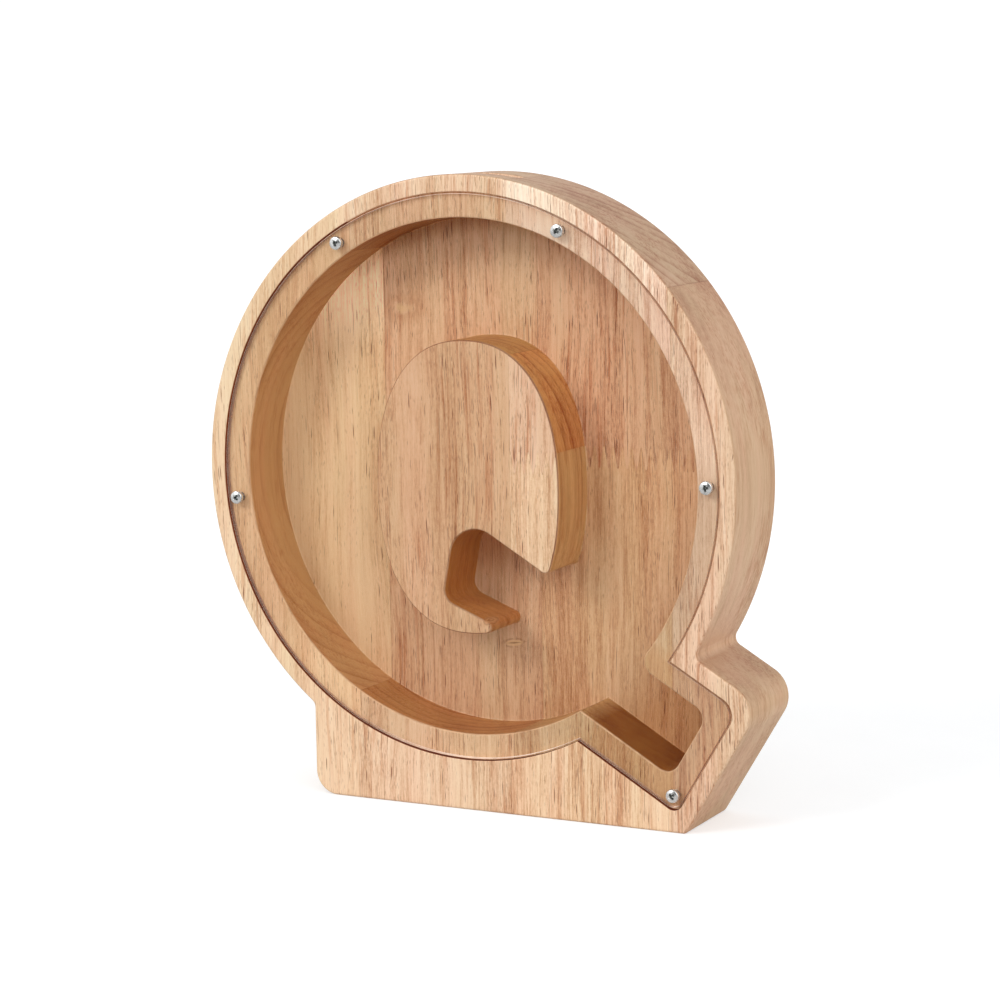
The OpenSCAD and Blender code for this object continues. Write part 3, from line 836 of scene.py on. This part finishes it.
    # painted shade: the rebate's wall in the narrow gap beside the pane is darkened to a brown line, and on some staves
    # faded above z 150
    gx, gz = N.math("DIVIDE", N.math("SUBTRACT", x, BX), BOWL_RX - RIM + 1.0), N.math("DIVIDE", N.math("SUBTRACT", z, BOWL_Z), BOWL_RZ - RIM + 1.0)
    g_bowl = N.math("LESS_THAN", N.math("ADD", N.math("MULTIPLY", gx, gx), N.math("MULTIPLY", gz, gz)), 1.0)
    g_tail = N.math("MULTIPLY", N.math("LESS_THAN", N.math("ABSOLUTE", N.math("SUBTRACT", tv, vm)), T_W / 2 - RIM + 1.0), N.math("MULTIPLY", N.math("GREATER_THAN", tu, 60.0), N.math("LESS_THAN", tu, T_REACH - RIM + 1.0)))
    groove_shade = N.math("MULTIPLY", N.math("MAXIMUM", g_bowl, g_tail), N.math("MULTIPLY", N.map(y, YF + 0.05, YF + 0.3, 0.0, 1.0), N.map(y, Y_LEDGE + 0.05, Y_LEDGE + 0.3, 1.0, 0.0)))
    groove_shade = N.math("MULTIPLY", groove_shade, N.map(ny, 0.6, 0.92, 1.0, 0.0))
    if groove_shade_top < 1.0:
        groove_shade = N.math("MULTIPLY", groove_shade, N.map(z, 140.0, 150.0, 1.0, groove_shade_top))
    base = N.mix(groove_shade, base, N.mix(1.0, base, srgb(136, 74, 34), "MULTIPLY"))
    bedm = N.math("MULTIPLY", N.math("MULTIPLY", inside, deep), N.math("MULTIPLY", flat, N.math("LESS_THAN", y, Y_FLOOR + 2.0)))
    base = N.mix(N.math("MULTIPLY", bedm, FLOOR_MIX), base, N.mix(1.0, base, FLOOR_TINT, "MULTIPLY"))
    base = N.mix(bedm, base, N.mix(1.0, base, bed, "MULTIPLY", clamp=False))
    # painted shade: the floor is a little darker towards the foot, and darker and warmer in the corner under the island
    low_bed_shade = N.map(z, 190.0, 30.0, 0.0, 0.26)
    base = N.mix(N.math("MULTIPLY", bedm, low_bed_shade), base, N.mix(1.0, base, (0.35, 0.30, 0.26), "MULTIPLY"))
    notch_shade_dist = N.math("SQRT", N.math("ADD", N.math("POWER", N.math("ABSOLUTE", N.math("SUBTRACT", x, BX - 3.0)), 2.0), N.math("POWER", N.math("ABSOLUTE", N.math("SUBTRACT", z, 91.0)), 2.0)))
    base = N.mix(N.math("MULTIPLY", bedm, N.map(notch_shade_dist, 4.0, 21.0, 0.75, 0.0, smooth=True)), base, N.mix(1.0, base, (0.80, 0.52, 0.31), "MULTIPLY"))
    # painted shadow on the floor just below the hollow's top wall
    er = N.math("ADD", N.math("MULTIPLY", ex, ex), N.math("MULTIPLY", ez, ez))
    rim_shadow = N.math("MULTIPLY", N.map(er, 0.80, 0.97, 0.0, 1.0, smooth=True), N.map(z, 172.0, 190.0, 0.0, 1.0, smooth=True))
    base = N.mix(N.math("MULTIPLY", bedm, rim_shadow), base, N.mix(1.0, base, (0.62, 0.46, 0.31), "MULTIPLY"))
    # the ledge's tint per stave is painted shade of the ledge under the pane and the rim
    on_ledge = N.math("MULTIPLY", flat, N.math("MULTIPLY", N.map(N.math("ABSOLUTE", N.math("SUBTRACT", y, Y_LEDGE)), 0.15, 0.3, 1.0, 0.0), N.math("SUBTRACT", 1.0, on_isl)))
    base = N.mix(on_ledge, base, N.mix(1.0, base, ledge, "MULTIPLY", clamp=False))
    base = N.mix(N.math("MULTIPLY", on_ledge, N.math("MULTIPLY", N.map(tu, 76.0, 82.0, 0.0, 1.0), N.map(tv, -6.0, -12.0, 0.0, 1.0))), base, N.mix(1.0, base, (0.95, 0.84, 0.74), "MULTIPLY"))
    # painted shade: the floor darker and warmer towards the tail's far end
    base = N.mix(N.math("MULTIPLY", bedm, N.map(tu, 76.0, 90.0, 0.0, 1.0)), base, N.mix(1.0, base, (0.92, 0.78, 0.62), "MULTIPLY"))
    # tints along Z on a stave's ledge, floor and back; the left stave's floor band and the right stave's ledge band are
    # painted light that lifts the shade there
    for mask_name, z0, z1, rgb in bands:
        m = {"ledge": on_ledge, "bed": bedm, "back": N.math("MULTIPLY", flat, N.math("GREATER_THAN", y, YB - 0.3))}[mask_name]
        base = N.mix(N.math("MULTIPLY", m, N.map(z, z0, z1, 0.0, 1.0, smooth=True)), base, N.mix(1.0, base, rgb, "MULTIPLY", clamp=False))
    # painted light: the ledge lightened towards a pale pink
    if ledge_light:
        base = N.mix(N.math("MULTIPLY", on_ledge, ledge_light), base, srgb(240, 210, 192))
    on_front = N.math("MULTIPLY", flat, N.math("LESS_THAN", y, YF + 0.25))
    base = N.mix(on_front, base, N.mix(1.0, base, front, "MULTIPLY", clamp=False))
    # painted highlight: a paler line along the edge of the hollow's mouth, broken by noise
    lip_highlight = N.math("MULTIPLY", N.math("MULTIPLY", inside, N.math("SUBTRACT", 1.0, on_isl)), N.math("MULTIPLY", N.map(y, Y_LEDGE + 0.02, Y_LEDGE + 0.12, 0.0, 1.0), N.map(y, Y_LEDGE + 0.35, Y_LEDGE + 0.7, 1.0, 0.0)))
    lip_highlight = N.math("MULTIPLY", lip_highlight, N.map(N.noise(mm, 0.15, 2.0), 0.35, 0.6, 0.25, 0.8))
    base = N.mix(lip_highlight, base, srgb(246, 208, 164))
    if kmask is not None:
        kc = N.ramp(kring, [(0.0, srgb(222, 172, 122)), (0.55, srgb(200, 144, 96)), (1.0, srgb(158, 100, 60))])
        base = N.mix(N.math("MULTIPLY", kmask, 0.75), base, kc)
    for bx_, bz_, by_, br_, bc_ in burr:
        dx, dy, dz = N.math("SUBTRACT", x, bx_), N.math("SUBTRACT", y, by_), N.math("SUBTRACT", z, bz_)
        d2_ = N.math("ADD", N.math("MULTIPLY", N.math("MULTIPLY", dx, dx), 0.45), N.math("ADD", N.math("MULTIPLY", dy, dy), N.math("MULTIPLY", N.math("MULTIPLY", dz, dz), 1.6)))
        d = N.math("ADD", N.math("SQRT", d2_), N.math("MULTIPLY", N.math("SUBTRACT", N.noise(mm, 0.45, 4.0, 0.65), 0.5), br_ * 2.2))
        base = N.mix(N.math("MULTIPLY", N.math("MULTIPLY", N.map(d, br_ * 0.9, br_ * 1.3, 0.0, 1.0), N.map(d, br_ * 1.4, br_ * 3.4, 1.0, 0.0, smooth=True)), 0.25), base, N.mix(1.0, base, srgb(208, 162, 124), "MULTIPLY"))
        base = N.mix(N.math("MULTIPLY", N.map(d, br_ * 0.3, br_ * 1.1, 1.0, 0.0, smooth=True), 0.65), base, bc_)
    # an eye: a small knot cut across, a dark slit in a pale lens
    for ex_, ez_, ey_, er_ in eye:
        dx, dy, dz = N.math("SUBTRACT", x, ex_), N.math("SUBTRACT", y, ey_), N.math("SUBTRACT", z, ez_)
        dz = N.math("SUBTRACT", dz, N.math("MULTIPLY", dx, 0.12))
        e2 = N.math("ADD", N.math("MULTIPLY", N.math("MULTIPLY", dx, dx), 0.16), N.math("ADD", N.math("MULTIPLY", N.math("MULTIPLY", dz, dz), 1.3), N.math("MULTIPLY", N.math("MULTIPLY", dy, dy), 0.3)))
        d = N.math("SQRT", e2)
        lens = N.map(d, er_ * 0.75, er_ * 1.05, 1.0, 0.0, smooth=True)
        ringe = N.math("MULTIPLY", N.map(d, er_ * 0.95, er_ * 1.15, 0.0, 1.0), N.map(d, er_ * 1.2, er_ * 1.6, 1.0, 0.0))
        slit = N.map(N.math("ADD", N.math("MULTIPLY", N.math("ABSOLUTE", dz), 1.0), N.math("MULTIPLY", N.math("ABSOLUTE", dx), 0.10)), er_ * 0.12, er_ * 0.32, 1.0, 0.0, smooth=True)
        broken = N.map(N.noise(mm, 0.55, 2.0), 0.42, 0.60, 0.0, 1.0, smooth=True)
        base = N.mix(N.math("MULTIPLY", lens, 0.8), base, srgb(232, 190, 140))
        base = N.mix(N.math("MULTIPLY", N.math("MULTIPLY", ringe, broken), 0.6), base, srgb(160, 102, 62))
        base = N.mix(N.math("MULTIPLY", N.math("MULTIPLY", slit, lens), 0.7), base, srgb(146, 88, 52))
    # glue lines
    line = None
    for sx in seams:
        l = N.map(N.math("ABSOLUTE", N.math("SUBTRACT", x, sx)), 0.05, 0.20, 1.0, 0.0)
        line = l if line is None else N.math("MAXIMUM", line, l)
    if finger:
        fx0, fx1, fz, fp = finger
        tri = N.math("PINGPONG", N.math("SUBTRACT", x, fx0), fp / 2)
        inx = N.math("MULTIPLY", N.math("GREATER_THAN", x, fx0), N.math("LESS_THAN", x, fx1))
        zl = N.math("SUBTRACT", fz, N.math("MULTIPLY", N.map(tri, fp * 0.08, fp * 0.42, 0.0, 7.0), inx))
        d = N.math("ABSOLUTE", N.math("SUBTRACT", z, zl))
        d = N.math("MULTIPLY", d, N.math("ADD", 1.0, N.math("MULTIPLY", inx, -0.80)))
        l = N.map(d, 0.04, 0.20, 0.28, 0.0)
        line = l if line is None else N.math("MAXIMUM", line, l)
    if line is not None:
        wob = N.map(N.noise(mm, 0.12, 2.0), 0.35, 0.65, 0.10, 0.55)
        base = N.mix(N.math("MULTIPLY", line, wob), base, N.mix(1.0, base, srgb(190, 150, 120), "MULTIPLY"))
    b = N.new("ShaderNodeBsdfPrincipled")
    N.link(base, b.inputs["Base Color"])
    rough = N.math("ADD", 0.50, N.math("ADD", N.math("MULTIPLY", fib, 0.10), N.math("MULTIPLY", pore, 0.15)))
    N.link(rough, b.inputs["Roughness"])
    b.inputs["IOR"].default_value = 1.45
    b.inputs["Specular IOR Level"].default_value = 0.25
    hgt = N.math("SUBTRACT", N.math("MULTIPLY", fib, 0.45), N.math("MULTIPLY", pore, 1.0))
    hgt = N.math("ADD", hgt, N.math("MULTIPLY", fine, 0.15))
    bump = N.new("ShaderNodeBump")
    bump.inputs["Strength"].default_value = 0.4
    bump.inputs["Distance"].default_value = 0.00012
    N.link(hgt, bump.inputs["Height"])
    N.link(bump.outputs[0], b.inputs["Normal"])
    N.link(b.outputs[0], N.out.inputs[0])
    return N.m


def N_comb(N, a, b, c):
    k = N.new("ShaderNodeCombineXYZ")
    N.put(k.inputs[0], a)
    N.put(k.inputs[1], b)
    N.put(k.inputs[2], c)
    return k.outputs[0]


# tints of painted shade: the hollow's walls (with warm bounce light), the notch, the tail, the walls facing down and
# the outer sides; the end-grain tint is partly the end grain's own tone and partly painted shade on the top
WALL_SHADE_MIX, WALL_SHADE_TINT = 0.85, srgb(238, 208, 170)
NOTCH_SHADE_TINT = (0.80, 0.62, 0.30)
TAIL_SHADE_TINT = (0.56, 0.34, 0.15)
DOWN_SHADE_TINT = (0.74, 0.58, 0.36)
END_GRAIN_SHADE_TINT = (0.66, 0.61, 0.56)
SIDE_SHADE_TINT = (0.88, 0.84, 0.78)
FLOOR_MIX, FLOOR_TINT = 0.80, srgb(249, 236, 220)


def RING_MASK(N, x, y, z, flat, skin):
    """Rings show less on the block's outside below the top of the stave."""
    ex, ez = N.math("DIVIDE", N.math("SUBTRACT", x, BX), BOWL_RX - 3.0), N.math("DIVIDE", N.math("SUBTRACT", z, BOWL_Z), BOWL_RZ - 3.0)
    far = N.math("GREATER_THAN", N.math("ADD", N.math("MULTIPLY", ex, ex), N.math("MULTIPLY", ez, ez)), 1.0)
    off = N.math("MULTIPLY", N.math("MULTIPLY", far, N.math("SUBTRACT", 1.0, flat)), 1.0 - skin)
    return N.math("SUBTRACT", 1.0, off)


def NOTCH_MASK(N, x, z, flat):
    """Rings show less on the walls of the notch in the island."""
    a = N.math("POWER", N.math("ABSOLUTE", N.math("DIVIDE", N.math("SUBTRACT", x, BX + ISL_X), ISL_RX)), ISL_N)
    b = N.math("POWER", N.math("ABSOLUTE", N.math("DIVIDE", N.math("SUBTRACT", z, ISL_Z), ISL_RZ)), ISL_N)
    near = N.map(N.math("ADD", a, b), 0.86, 0.94, 1.0, 0.0)
    return N.math("SUBTRACT", 1.0, N.math("MULTIPLY", N.math("MULTIPLY", near, N.math("SUBTRACT", 1.0, flat)), 0.7))


LEFT = (srgb(249, 226, 194), srgb(240, 211, 176), srgb(206, 158, 116))
CENTRE = (srgb(247, 222, 194), srgb(238, 206, 174), srgb(200, 152, 116))
UPPER = (srgb(252, 234, 214), srgb(246, 222, 198), srgb(200, 152, 122))
LOWER = (srgb(247, 220, 188), srgb(235, 200, 164), srgb(200, 152, 114))
RIGHT = (srgb(244, 216, 188), srgb(232, 199, 168), srgb(190, 142, 110))

mats = {
    "stave_left": wood_material("rubberwood_left", 1.0, *LEFT, pith=(-118, 44), ring=0.26, streak=0.30, pores=0.60, seams=(SA,), wall=(0.86, 0.86, 0.80), ledge=(0.92, 0.81, 0.71), bed=(1.13, 1.15, 1.15), grit=0.9, bands=(("bed", 148.0, 172.0, (1.48, 1.66, 1.90)), ("ledge", 66.0, 46.0, (1.14, 1.22, 1.26)))),
    "stave_centre_left": wood_material("rubberwood_centre_left", 2.0, *CENTRE, pith=(-30, 92), ring=0.34, streak=0.60, pores=0.80, seams=(SA, SB), isle=(0.87, 0.76, 0.66), isle_wall_shade=(0.84, 0.82, 0.58), wall=(0.74, 0.64, 0.47), ledge=(0.92, 0.86, 0.78), bed=(1.06, 1.05, 1.03), groove_shade_top=0.15, grit=1.2, burr=((-36.0, 164.3, Y_FLOOR, 2.6, srgb(236, 194, 142)),), eye=((4.2, 52.6, Y_FLOOR, 1.3),), knots=((5.2, Y_LEDGE + 3.4, 64.0, 2.0),)),
    "stave_centre_right_upper": wood_material("rubberwood_centre_right_upper", 3.0, *UPPER, pith=(-6, 62), ring=0.34, streak=0.80, pores=1.0, seams=(SB, SC), finger=(SB, SC, FZ, PITCH), isle=(0.93, 0.78, 0.68), isle_wall_shade=(0.96, 0.83, 0.54), ledge=(0.99, 0.92, 0.88), bed=(0.96, 0.84, 0.73), front=(1.08, 1.08, 1.08), rind=(0.84, 0.75, 0.67), ledge_light=0.08, grit=1.3, broad=1.25, bands=(("ledge", 188.0, 200.0, (0.90, 0.84, 0.78)), ("back", -2.0, -1.0, (0.93, 0.84, 0.75)))),
    "stave_centre_right_lower": wood_material("rubberwood_centre_right_lower", 4.0, *LOWER, pith=(30, 70), ring=0.26, streak=0.50, pores=0.70, seams=(SB, SC), finger=(SB, SC, FZ, PITCH), isle=(1.06, 1.10, 1.10), isle_wall_shade=(1.06, 1.28, 1.22), wall=(0.84, 0.96, 0.92), ledge=(0.78, 0.76, 0.68), bed=(1.06, 1.05, 1.02), grit=1.6, broad=1.5),
    "stave_right": wood_material("rubberwood_right", 6.0, *RIGHT, pith=(122, 34), ring=0.24, streak=0.60, pores=0.90, seams=(SC,), skin=0.35, ledge=(0.84, 0.85, 0.82), ledge_light=0.05, rind=(0.99, 0.96, 0.94), grit=1.3, bands=(("ledge", 106.0, 128.0, (1.34, 1.42, 1.55)),)),
}
for node, o in wood.items():
    o.data.materials.clear()
    o.data.materials.append(mats[node])
    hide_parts(node)
    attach(o, "block")


# ------------------------------------------------------------------ acrylic
def acrylic():
    """Clear sheet, seen straight through: a faint gloss over a nearly colourless body."""
    N = Nodes("clear_acrylic")
    tc = N.new("ShaderNodeTexCoord")
    sm = N.noise(tc.outputs["Object"], 60.0, 3.0, 0.6)
    tr = N.new("ShaderNodeBsdfTransparent")
    N.link(N.ramp(sm, [(0.3, (0.985, 0.985, 0.985)), (0.7, (0.975, 0.98, 0.98))]), tr.inputs["Color"])
    g = N.new("ShaderNodeBsdfGlossy")
    g.inputs["Color"].default_value = (1, 1, 1, 1)
    N.link(N.map(sm, 0.3, 0.8, 0.02, 0.05), g.inputs["Roughness"])
    f = N.new("ShaderNodeFresnel")
    f.inputs["IOR"].default_value = 1.11
    mx = N.new("ShaderNodeMixShader")
    N.link(f.outputs[0], mx.inputs[0])
    N.link(tr.outputs[0], mx.inputs[1])
    N.link(g.outputs[0], mx.inputs[2])
    N.link(mx.outputs[0], N.out.inputs[0])
    return N.m


def acrylic_edge():
    """The sawn edge of the sheet: cloudy, with fine upright saw lines. Its warm glow is painted light; where it faces
    +X it lets through a dark brown, painted shade of the gap beside it.
    """
    N = Nodes("acrylic_edge")
    tc = N.new("ShaderNodeTexCoord")
    saw = N.noise(N.vmath("MULTIPLY", tc.outputs["Object"], (160, 60, 160)), 1.0, 2.0, 0.5)
    d = N.new("ShaderNodeBsdfPrincipled")
    N.link(N.ramp(saw, [(0.3, srgb(240, 222, 208)), (0.7, srgb(248, 234, 222))]), d.inputs["Base Color"])
    N.link(N.map(saw, 0.3, 0.7, 0.25, 0.45), d.inputs["Roughness"])
    tr = N.new("ShaderNodeBsdfTransparent")
    mx = N.new("ShaderNodeMixShader")
    geo = N.new("ShaderNodeNewGeometry")
    ns = N.new("ShaderNodeSeparateXYZ")
    N.link(geo.outputs["Normal"], ns.inputs[0])
    # painted shade: edges facing +X let through a dark brown
    N.link(N.mix(N.map(ns.outputs[0], 0.1, 0.6, 0.0, 1.0), (0.96, 0.94, 0.94), (0.60, 0.47, 0.38)), tr.inputs["Color"])
    N.link(N.math("MULTIPLY", N.map(saw, 0.3, 0.7, 0.62, 0.74), N.map(ns.outputs[0], 0.0, 0.4, 1.0, 0.25)), mx.inputs[0])
    N.link(tr.outputs[0], mx.inputs[1])
    # painted light: the edge glows warm, much less where it faces +X
    N.link(N.ramp(saw, [(0.3, (0.62, 0.40, 0.27)), (0.7, (0.78, 0.56, 0.42))]), d.inputs["Emission Color"])
    N.link(N.map(ns.outputs[0], 0.0, 0.4, 0.42, 0.10), d.inputs["Emission Strength"])
    N.link(d.outputs[0], mx.inputs[2])
    N.link(mx.outputs[0], N.out.inputs[0])
    return N.m


window.visible_shadow = False
window.data.materials.append(acrylic())
window.data.materials.append(acrylic_edge())
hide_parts("window")
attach(window, "window")


# ------------------------------------------------------------------ steel
def steel():
    N = Nodes("screw_steel")
    tc = N.new("ShaderNodeTexCoord")
    b = N.new("ShaderNodeBsdfPrincipled")
    n1 = N.noise(tc.outputs["Object"], 900.0, 4.0, 0.6)
    n2 = N.noise(tc.outputs["Object"], 4200.0, 3.0, 0.6)
    c = N.ramp(n1, [(0.25, srgb(186, 187, 186)), (0.5, srgb(226, 227, 226)), (0.8, srgb(242, 242, 240))])
    # painted shade in the cross recess: the base colour darkens there
    sep = N.new("ShaderNodeSeparateXYZ")
    N.link(tc.outputs["Object"], sep.inputs[0])
    deep = N.map(sep.outputs[1], (Y_GLASS - 1.30) * MM, (Y_GLASS - 0.75) * MM, 0.0, 1.0)
    geo = N.new("ShaderNodeNewGeometry")
    ns = N.new("ShaderNodeSeparateXYZ")
    N.link(geo.outputs["Normal"], ns.inputs[0])
    rad = None
    for cx, cz in SCREWS.values():
        ax, az = N.math("SUBTRACT", sep.outputs[0], float(cx) * MM), N.math("SUBTRACT", sep.outputs[2], float(cz) * MM)
        d = N.math("SQRT", N.math("ADD", N.math("MULTIPLY", ax, ax), N.math("MULTIPLY", az, az)))
        rad = d if rad is None else N.math("MINIMUM", rad, d)
    recess_shade = N.math("MULTIPLY", deep, N.map(rad, 1.55 * MM, 1.75 * MM, 1.0, 0.0))
    c = N.mix(N.math("MULTIPLY", recess_shade, 0.85), c, N.mix(1.0, c, (0.12, 0.13, 0.12), "MULTIPLY"))
    N.link(c, b.inputs["Base Color"])
    b.inputs["Metallic"].default_value = 1.0
    N.link(N.map(n2, 0.3, 0.8, 0.20, 0.36), b.inputs["Roughness"])
    bump = N.new("ShaderNodeBump")
    bump.inputs["Strength"].default_value = 0.25
    bump.inputs["Distance"].default_value = 0.00004
    N.link(n2, bump.inputs["Height"])
    N.link(bump.outputs[0], b.inputs["Normal"])
    N.link(b.outputs[0], N.out.inputs[0])
    return N.m


st = steel()
for node, o in screws.items():
    o.data.materials.clear()
    o.data.materials.append(st)
    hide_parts(node)
    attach(o, node)


# ------------------------------------------------------------------ stage, light and camera
def floor():
    """Pale seamless paper, lit to white: it looks brighter than the light it sends back, as an overlit sweep does."""
    bm = bmesh.new()
    bmesh.ops.create_grid(bm, x_segments=8, y_segments=8, size=12.0)
    me = bpy.data.meshes.new("floor")
    bm.to_mesh(me)
    bm.free()
    o = obj_of(me, "floor")
    N = Nodes("floor_paper")
    tc = N.new("ShaderNodeTexCoord")
    b = N.new("ShaderNodeBsdfPrincipled")
    n = N.noise(tc.outputs["Object"], 40.0, 3.0, 0.5)
    N.link(N.ramp(n, [(0.3, (FLOOR_ALB - 0.01,) * 3), (0.7, (FLOOR_ALB + 0.01,) * 3)]), b.inputs["Base Color"])
    b.inputs["Roughness"].default_value = 0.9
    b.inputs["Specular IOR Level"].default_value = 0.0
    b2 = N.new("ShaderNodeBsdfPrincipled")
    N.link(N.ramp(n, [(0.3, (0.634, 0.652, 0.668)), (0.7, (0.650, 0.668, 0.684))]), b2.inputs["Base Color"])
    b2.inputs["Roughness"].default_value = 0.9
    b2.inputs["Specular IOR Level"].default_value = 0.0
    em = N.new("ShaderNodeEmission")
    em.inputs["Color"].default_value = (1, 1, 1, 1)
    em.inputs["Strength"].default_value = FLOOR_GLOW
    lp = N.new("ShaderNodeLightPath")
    add = N.new("ShaderNodeAddShader")
    mx = N.new("ShaderNodeMixShader")
    N.link(b2.outputs[0], add.inputs[0])
    N.link(em.outputs[0], add.inputs[1])
    N.link(lp.outputs["Is Camera Ray"], mx.inputs[0])
    N.link(b.outputs[0], mx.inputs[1])
    N.link(add.outputs[0], mx.inputs[2])
    N.link(mx.outputs[0], N.out.inputs[0])
    o.data.materials.append(N.m)
    return o


FLOOR_GLOW, FLOOR_ALB = 0.472, 0.66
WORLD = 0.68
floor()


def sun(name, az, el, strength, angle):
    """A soft light from azimuth az (0 is the front, to the right is positive) and elevation el."""
    L = bpy.data.lights.new(name, "SUN")
    L.energy = strength
    L.angle = math.radians(angle)
    o = bpy.data.objects.new(name, L)
    a, e = math.radians(az), math.radians(el)
    d = Vector((math.sin(a) * math.cos(e), -math.cos(a) * math.cos(e), math.sin(e)))
    o.rotation_mode = "QUATERNION"
    o.rotation_quaternion = d.to_track_quat("Z", "Y")
    o.location = d * 2
    coll.objects.link(o)
    return o


sun("key", -30, 32, 1.00, 24)
sun("side", 78, 22, 0.35, 50)
sun("fill", 40, 30, 0.60, 40)

w = bpy.data.worlds.new("studio")
scene.world = w
w.use_nodes = True
wt = w.node_tree
wt.nodes.clear()
wo = wt.nodes.new("ShaderNodeOutputWorld")
bg = wt.nodes.new("ShaderNodeBackground")
bg.inputs[0].default_value = (1, 1, 1, 1)
bg.inputs[1].default_value = WORLD
# what shiny things mirror: white all round but for the dark room behind the camera
wtc = wt.nodes.new("ShaderNodeTexCoord")
wdot = wt.nodes.new("ShaderNodeVectorMath")
wdot.operation = "DOT_PRODUCT"
wt.links.new(wtc.outputs["Generated"], wdot.inputs[0])
wdot.inputs[1].default_value = Vector((0.28, -0.90, -0.16)).normalized()
wmap = wt.nodes.new("ShaderNodeMapRange")
wmap.interpolation_type = "SMOOTHSTEP"
wt.links.new(wdot.outputs["Value"], wmap.inputs[0])
for i, v in enumerate((0.55, 0.86, 1.0, 0.06)):
    wmap.inputs[i + 1].default_value = v
bg3 = wt.nodes.new("ShaderNodeBackground")
bg3.inputs[0].default_value = (1, 1, 1, 1)
wt.links.new(wmap.outputs[0], bg3.inputs[1])
bg2 = wt.nodes.new("ShaderNodeBackground")
bg2.inputs[0].default_value = (1, 1, 1, 1)
bg2.inputs[1].default_value = 1.05
lp = wt.nodes.new("ShaderNodeLightPath")
mx = wt.nodes.new("ShaderNodeMixShader")
mg = wt.nodes.new("ShaderNodeMixShader")
wt.links.new(lp.outputs["Is Glossy Ray"], mg.inputs[0])
wt.links.new(bg.outputs[0], mg.inputs[1])
wt.links.new(bg3.outputs[0], mg.inputs[2])
wt.links.new(lp.outputs["Is Camera Ray"], mx.inputs[0])
wt.links.new(mg.outputs[0], mx.inputs[1])
wt.links.new(bg2.outputs[0], mx.inputs[2])
wt.links.new(mx.outputs[0], wo.inputs[0])

scene.view_settings.view_transform = "Standard"
scene.view_settings.look = "None"
scene.view_settings.exposure = 0.0
scene.view_settings.gamma = 1.0

# The camera stands to the object's right and a little above it, at the photograph's viewing angle.
CAM = dict(f=2799.4, yaw=27.243, pitch=8.189, roll=-0.945, tx=3.69, tz=102.12, dist=927.6)
ya, pi_, ro = (math.radians(CAM[k]) for k in ("yaw", "pitch", "roll"))
fw = -Vector((math.sin(ya) * math.cos(pi_), -math.cos(ya) * math.cos(pi_), math.sin(pi_)))
rt = fw.cross(Vector((0, 0, 1))).normalized()
up = rt.cross(fw)
rt2 = math.cos(ro) * rt + math.sin(ro) * up
up2 = -math.sin(ro) * rt + math.cos(ro) * up
cam = bpy.data.cameras.new("camera")
cam.sensor_width = 36.0
cam.lens = CAM["f"] / 1000 * 36.0
cam.clip_start, cam.clip_end = 0.05, 50
co = bpy.data.objects.new("camera", cam)
pos = Vector((CAM["tx"] * MM, 0, CAM["tz"] * MM)) - fw * CAM["dist"] * MM
co.matrix_world = Matrix(((rt2.x, up2.x, -fw.x, pos.x), (rt2.y, up2.y, -fw.y, pos.y), (rt2.z, up2.z, -fw.z, pos.z), (0, 0, 0, 1)))
coll.objects.link(co)
scene.camera = co
